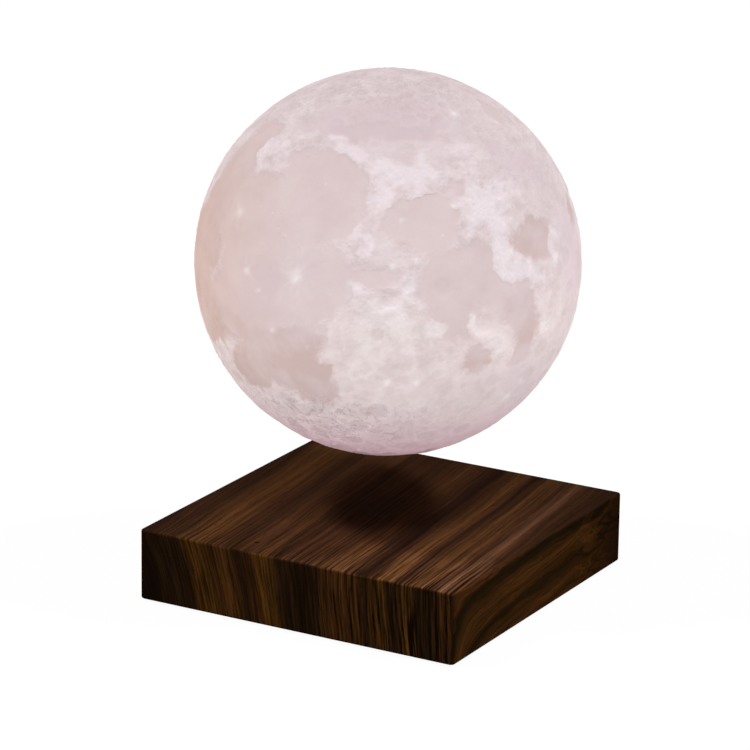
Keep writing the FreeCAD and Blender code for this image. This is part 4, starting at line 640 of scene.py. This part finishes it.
def oiled_walnut():
    """American walnut, planed and oiled matt: deep brown, with black-brown streaks and tan bands."""
    material, put, shader, place = start("oiled_walnut", IOR=1.5, Specular_IOR_Level=0.001)
    x, y, z = put("SeparateXYZ", place).outputs
    depth = put("Math", y, BASE_SIDE / 2)
    fall = put("Math", z, -BASE_TOP)
    # Slow wander of the grain, 1.5 mm over half the block.
    stretched = put("VectorMath", place, (0.022, 0.014, 0.022), operation="MULTIPLY")
    wander = put("MapRange", put("TexNoise", stretched, Scale=1, Detail=2), 0, 1, -3, 3)

    # Across the block. The grain drifts to the left by a tenth on its way back, and on the front
    # face the streaks lean, less so towards its right end.
    lean = put("MapRange", x, -70, 30, 0.34, 0.06)
    leant = put("Math", fall, lean, x, operation="MULTIPLY_ADD")
    drifted = put("Math", depth, 0.10, leant, operation="MULTIPLY_ADD")
    over = put("Math", drifted, wander)
    # Up the sides: the streaks rise to the rear, steeply at first from the front edge, and near the
    # rear end they curl into a flame figure.
    rise = put("Math", depth, -0.07, z, operation="MULTIPLY_ADD")
    hug = put("Math", put("Math", depth, -1 / 11, operation="MULTIPLY"), operation="EXPONENT")
    drop = put("Math", fall, -0.75, operation="MULTIPLY")
    hugged = put("Math", hug, drop, rise, operation="MULTIPLY_ADD")
    flame = put("VectorMath", place, (0.03, 0.06, 0.24), operation="MULTIPLY")
    flame = put("TexNoise", flame, Scale=1, Detail=2, Roughness=0.4)
    flame = put("MapRange", flame, 0.2, 0.8, -1, 1)
    up = put("Math", flame, put("MapRange", y, 24, 56, 1.2, 13), hugged, operation="MULTIPLY_ADD")

    # Which face this is. The colour turns a little before or after the edge, from fibre to fibre.
    notched = put("VectorMath", place, (0.5, 0.02, 0.02), operation="MULTIPLY")
    notched = put("MapRange", put("TexNoise", notched, Scale=1, Detail=3), 0.3, 0.7, -0.3, 0.3)
    facing = put("SeparateXYZ", put("TexCoord").outputs["Normal"]).outputs
    facing = [put("Math", facing[axis], operation="ABSOLUTE") for axis in (1, 0)]
    front, side = [put("MapRange", put("Math", way, notched), 0.35, 0.75, 0, 1) for way in facing]

    layers = []
    for bands, tones, across in (
            (TOP_BANDS, LONG_GRAIN, over),
            (FRONT_BANDS, END_GRAIN, over),
            (SIDE_BANDS, SIDE_GRAIN, up)):
        low, high = bands[0][0], bands[-1][0]
        stops = [((at - low) / (high - low), tones[tone]) for at, tone in bands]
        layers.append(put("ValToRGB", put("MapRange", across, low, high, 0, 1), stops=stops))
    colour = put("Mix", front, layers[0], layers[1], **COLOUR)
    colour = put("Mix", side, colour, layers[2], **COLOUR)
    # The sides darken towards the rear.
    rear = put("Math", put("MapRange", y, 38, 68, 0, 0.75), side, operation="MULTIPLY")
    colour = put("Mix", rear, colour, "1C0F06", **COLOUR)
    # Painted shade: the wood is darker towards the rear and the left.
    inner = put("Math", x, -0.5, y, operation="MULTIPLY_ADD")
    darker = put("Mix", 1.0, colour, "958E7C", **TINT)
    colour = put("Mix", put("MapRange", inner, -50, 90, 0, 0.78), colour, darker, **COLOUR)

    across = put("Mix", side, over, up)
    laid = {}
    for name, scales in GRAIN.items():
        parts = [put("Math", way, scale, operation="MULTIPLY")
                 for way, scale in zip((across, y, z), scales)]
        laid[name] = put("TexNoise", put("CombineXYZ", *parts), Scale=1, Detail=4, Roughness=0.62)
    # Some streaks are dark, and others are the wood's own tone, brighter.
    streak = put("MapRange", laid["streaks"], 0.44, 0.68, 0, 0.4)
    colour = put("Mix", streak, colour, "2B1A0D", **COLOUR)
    lighter = put("Mix", 1.0, colour, (1.45, 1.4, 1.3, 1), **TINT)
    streak = put("MapRange", laid["streaks"], 0.46, 0.30, 0, 0.6)
    colour = put("Mix", streak, colour, lighter, **COLOUR)
    # The fibres show most on the front face, the more so to the right, and on the top near it.
    near = put("Math", put("MapRange", y, -66, -20, 1.0, 0.3), put("MapRange", x, -60, 60, 0.7, 1.5),
               operation="MULTIPLY")
    strong = put("Mix", front, near, put("MapRange", x, 0, 62, 0.7, 1.4))
    strong = put("Mix", side, strong, 0.4)
    fibre = put("MapRange", laid["fibres"], 0.46, 0.62, 0, 1)
    fibre = put("Math", fibre, strong, operation="MULTIPLY")
    colour = put("Mix", fibre, colour, "1E1208", **COLOUR)
    lighter = put("Mix", 1.0, colour, (1.7, 1.63, 1.56, 1), **TINT)
    fibre = put("MapRange", laid["fibres"], 0.47, 0.35, 0, 0.7)
    fibre = put("Math", fibre, put("Math", strong, 0.3), operation="MULTIPLY")
    colour = put("Mix", fibre, colour, lighter, **COLOUR)
    pore = put("MapRange", laid["pores"], 0.57, 0.66, 0, 0.6)
    colour = put("Mix", pore, colour, "190E06", **COLOUR)
    # A pin knot near the front edge.
    knot = put("VectorMath", place, (-23.1, -58.3, BASE_TOP), operation="DISTANCE")
    colour = put("Mix", put("MapRange", knot, 0.4, 1.3, 0.9, 0), colour, "120806", **COLOUR)

    rough = put("MapRange", laid["fibres"], 0.3, 0.7, 0.48, 0.64)
    # Pores are open, and fibres stand a little apart.
    sunk_pores = put("MapRange", laid["pores"], 0.55, 0.7, 0, -0.08)
    sunk = put("Math", sunk_pores, put("MapRange", laid["fibres"], 0.3, 0.7, 0, -0.05))
    normal = put("Bump", Height=sunk, Distance=MM, Strength=0.7)
    feed(shader, Base_Color=colour, Roughness=rough, Normal=normal)
    return material


# Thickness of the wire, and distance between threads and between copper tracks.
WIRE, THREAD_PITCH, TRACK_PITCH = 0.5, 0.6, 1.6


def turns_of_wire(put, place):
    """Rings of wire on a flat coil, and hoops up a bobbin."""
    flat = put("VectorMath", place, (1, 1, 0), operation="MULTIPLY")
    flat = put("VectorMath", flat, operation="LENGTH")
    upward = put("SeparateXYZ", put("TexCoord").outputs["Normal"]).outputs[2]
    upward = put("Math", put("Math", upward, operation="ABSOLUTE"), 0.7, operation="GREATER_THAN")
    across = put("Mix", upward, put("SeparateXYZ", place).outputs[2], flat)
    turns = put("Math", across, 2 * math.pi / WIRE, operation="MULTIPLY")
    wave = put("Math", turns, operation="SINE")
    return put("MapRange", wave, -1, 1, 0, 1)


def threads(put, place):
    """Cloth of glass threads, seen through its resin."""
    turns = put("VectorMath", place, operation="SCALE", Scale=2 * math.pi / THREAD_PITCH)
    across, along, _ = put("SeparateXYZ", turns).outputs
    over, under = [put("Math", turn, operation="SINE") for turn in (across, along)]
    woven = put("Math", over, under, operation="MULTIPLY")
    return put("MapRange", woven, -1, 1, 0, 1)


def tracks(put, place):
    """Copper tracks under the lacquer, that stop and start."""
    rows = put("TexBrick", place, "FFFFFF", "BBBBBB", "777777",
               Scale=1, Mortar_Size=0.28, Brick_Width=11, Row_Height=TRACK_PITCH)
    return put("SeparateColor", rows)


def speckled(name, dark, light, grain, roughness, depth, pattern=None, **constants):
    """A finish whose tone and gloss wander between two values, in grains of so many millimetres and
    with bumps so many millimetres deep. A pattern of its own may lie over the grains."""
    material, put, shader, place = start(name, **constants)
    fine = put("TexNoise", place, Scale=1 / grain, Detail=3, Roughness=0.6)
    if pattern:
        fine = put("Mix", 0.75, fine, pattern(put, place))
    wide = put("MapRange", put("TexNoise", place, Scale=0.06, Detail=2), 0.3, 0.7, 0, 0.3)
    both = put("Math", fine, 0.7, wide, operation="MULTIPLY_ADD")
    colour = put("ValToRGB", both, stops=[(0.32, dark), (0.68, light)])
    normal = put("Bump", Height=fine, Distance=depth * MM, Strength=0.6)
    rough = put("MapRange", both, 0.3, 0.7, *roughness)
    feed(shader, Base_Color=colour, Roughness=rough, Normal=normal)
    return material


def materials_by_slot():
    """One finish for each material slot of the record."""
    return {
        "walnut": oiled_walnut(),
        # Black ABS, moulded in a spark-eroded tool: matt with a fine pebble.
        "black_plastic": speckled(
            "black_abs", "161617", "262628", 0.5, (0.5, 0.64), 0.05, IOR=1.53),
        # White nylon, moulded: satin, slightly creamy.
        "white_plastic": speckled(
            "white_nylon", "D8D5CE", "E6E4DE", 0.6, (0.42, 0.55), 0.03, IOR=1.53),
        # Zinc-plated steel: bright, with a faint bloom.
        "zinc_steel": speckled(
            "zinc_plated_steel", "9CA0A4", "C6C8C8", 0.35, (0.24, 0.42), 0.02, Metallic=1.0),
        # Black nitrile rubber, moulded: dull, dusty where it rubs.
        "black_rubber": speckled(
            "nitrile_rubber", "121212", "262625", 0.8, (0.75, 0.92), 0.06, IOR=1.52),
        # Glass-fibre boards under green and white lacquer: a soft gloss over the copper's relief.
        "green_circuit_board": speckled(
            "solder_resist_green", "1A4A2C", "2B7146", 1.2, (0.28, 0.4), 0.02, tracks, IOR=1.55),
        "white_circuit_board": speckled(
            "solder_resist_white", "D6D7D2", "EBECE8", 1.2, (0.3, 0.42), 0.02, tracks, IOR=1.55),
        # Sintered ferrite: dark grey, slightly granular, like stone.
        "ferrite": speckled("sintered_ferrite", "333436", "4A4B4D", 0.4, (0.5, 0.7), 0.03, IOR=2.0),
        # Nickel over neodymium: bright and warm, with a faint orange peel.
        "nickel_plated_magnet": speckled(
            "nickel_plate", "B4AFA4", "CFCBC1", 1.5, (0.14, 0.26), 0.01, Metallic=1.0),
        # Enamelled copper wire, wound: rounded turns under a clear red-brown varnish.
        "enamelled_copper": speckled(
            "enamelled_copper_wire", "7E3B18", "CB7A40", 0.5, (0.25, 0.36), 0.2, turns_of_wire,
            Metallic=0.9),
        # Soft iron, turned: grey and dull.
        "soft_iron": speckled(
            "soft_iron", "6B6E71", "8C8F91", 0.5, (0.35, 0.5), 0.02, Metallic=1.0),
        # Brass under a flash of gold, stamped.
        "plated_brass": speckled(
            "gold_plated_brass", "B58E3C", "D9B766", 0.5, (0.2, 0.32), 0.01, Metallic=1.0),
        # Glass cloth in epoxy, sawn from sheet: amber, with its threads showing.
        "glass_fibre_sheet": speckled(
            "glass_fibre_sheet", "A09758", "C8C18C", 0.5, (0.4, 0.55), 0.04, threads, IOR=1.55),
        # Filled epoxy of the chips: matt black, faintly gritty.
        "chip_resin": speckled("chip_resin", "1B1B1D", "2B2B2E", 0.3, (0.55, 0.7), 0.02, IOR=1.55),
        # Deep-drawn aluminium can, etched.
        "can_aluminium": speckled(
            "can_aluminium", "AEB1B4", "CDD0D2", 0.4, (0.25, 0.38), 0.01, Metallic=1.0),
        "printed_moon_plastic": printed_moon_plastic(),
        # Opal polycarbonate, moulded and frosted.
        "frosted_diffuser": speckled(
            "opal_polycarbonate", "E4E1DA", "F2F0EA", 0.6, (0.5, 0.62), 0.02, IOR=1.58),
        # Silicone with yellow phosphor over the chip of each light.
        "light_emitter": speckled(
            "phosphor_resin", "E9C34E", "F5DC7E", 0.5, (0.3, 0.4), 0.01, IOR=1.5),
    }


def dress(finishes):
    """Gives each CAD node the finish of its slot."""
    for entry in frame["record"]["subparts"]:
        node = frame["nodes"][entry["node"]]
        node.data.materials.clear()
        node.data.materials.append(finishes[entry["material_slot"]])


finishes = materials_by_slot()
dress(finishes)
make_moon_shell(finishes["printed_moon_plastic"])
make_moon_cap(finishes["printed_moon_plastic"])

# ---------------------------------------------------------------------------------------------
# Studio: three soft lamps, a faint fill, and surroundings that look white
# ---------------------------------------------------------------------------------------------

# Elevation of the lamps and how wide each looks. The moon keeps the light of all three from the
# middle of the base: that is its dark spot.
LAMP_HEIGHT, LAMP_SOFTNESS = 56, 8
# Name, bearing from the camera, strength.
LAMPS = [("lamp_left", -80, 1.4), ("lamp_right", 80, 1.4), ("lamp_front", 0, 0.45)]
FILL = 0.03
# In metres, from the lamp to each side.
FLOOR_REACH = 6.0


def hang_lamp(name, side, strength):
    data = bpy.data.lights.new(name, "SUN")
    data.energy, data.angle = strength, math.radians(LAMP_SOFTNESS)
    lamp = bpy.data.objects.new(name, data)
    bpy.context.scene.collection.objects.link(lamp)
    lamp.rotation_euler = bearing(side, LAMP_HEIGHT).to_track_quat("Z", "Y").to_euler()


def seen_directly(put):
    """1 for what the camera, a gloss or a clear material sees, and 0 for the light on things."""
    rays = put("LightPath").outputs
    either = put("Math", rays["Is Camera Ray"], rays["Is Glossy Ray"])
    return put("Math", either, rays["Is Transmission Ray"], use_clamp=True)


def make_surroundings():
    world = bpy.data.worlds.new("surroundings")
    bpy.context.scene.world = world
    world.use_nodes = True
    world.node_tree.nodes.clear()
    put = functools.partial(add, world.node_tree)
    fill, white = [put("Background", "FFFFFF", strength) for strength in (FILL, 1)]
    put("OutputWorld", put("MixShader", seen_directly(put), fill, white))


def make_floor():
    """Pale table top: white to the eye, but for the lamp's own faint shadow."""
    signs = ((-1, -1), (1, -1), (1, 1), (-1, 1))
    corners = [(x * FLOOR_REACH, y * FLOOR_REACH, 0) for x, y in signs]
    mesh = bpy.data.meshes.new("floor")
    mesh.from_pydata(corners, [], [(0, 1, 2, 3)])
    floor = bpy.data.objects.new("floor", mesh)
    bpy.context.scene.collection.objects.link(floor)
    material = bpy.data.materials.new("matt_board")
    material.use_nodes = True
    material.node_tree.nodes.clear()
    put = functools.partial(add, material.node_tree)
    board = put("BsdfDiffuse", "616161")
    # What is seen is nearly white by itself. The rest comes from the lamps, but for the shadow.
    pale = put("AddShader", put("Emission", "FFFFFF", 0.96), put("BsdfDiffuse", "454545"))
    put("OutputMaterial", put("MixShader", seen_directly(put), board, pale))
    mesh.materials.append(material)


for name, side, strength in LAMPS:
    hang_lamp(name, side, strength)
make_surroundings()
make_floor()
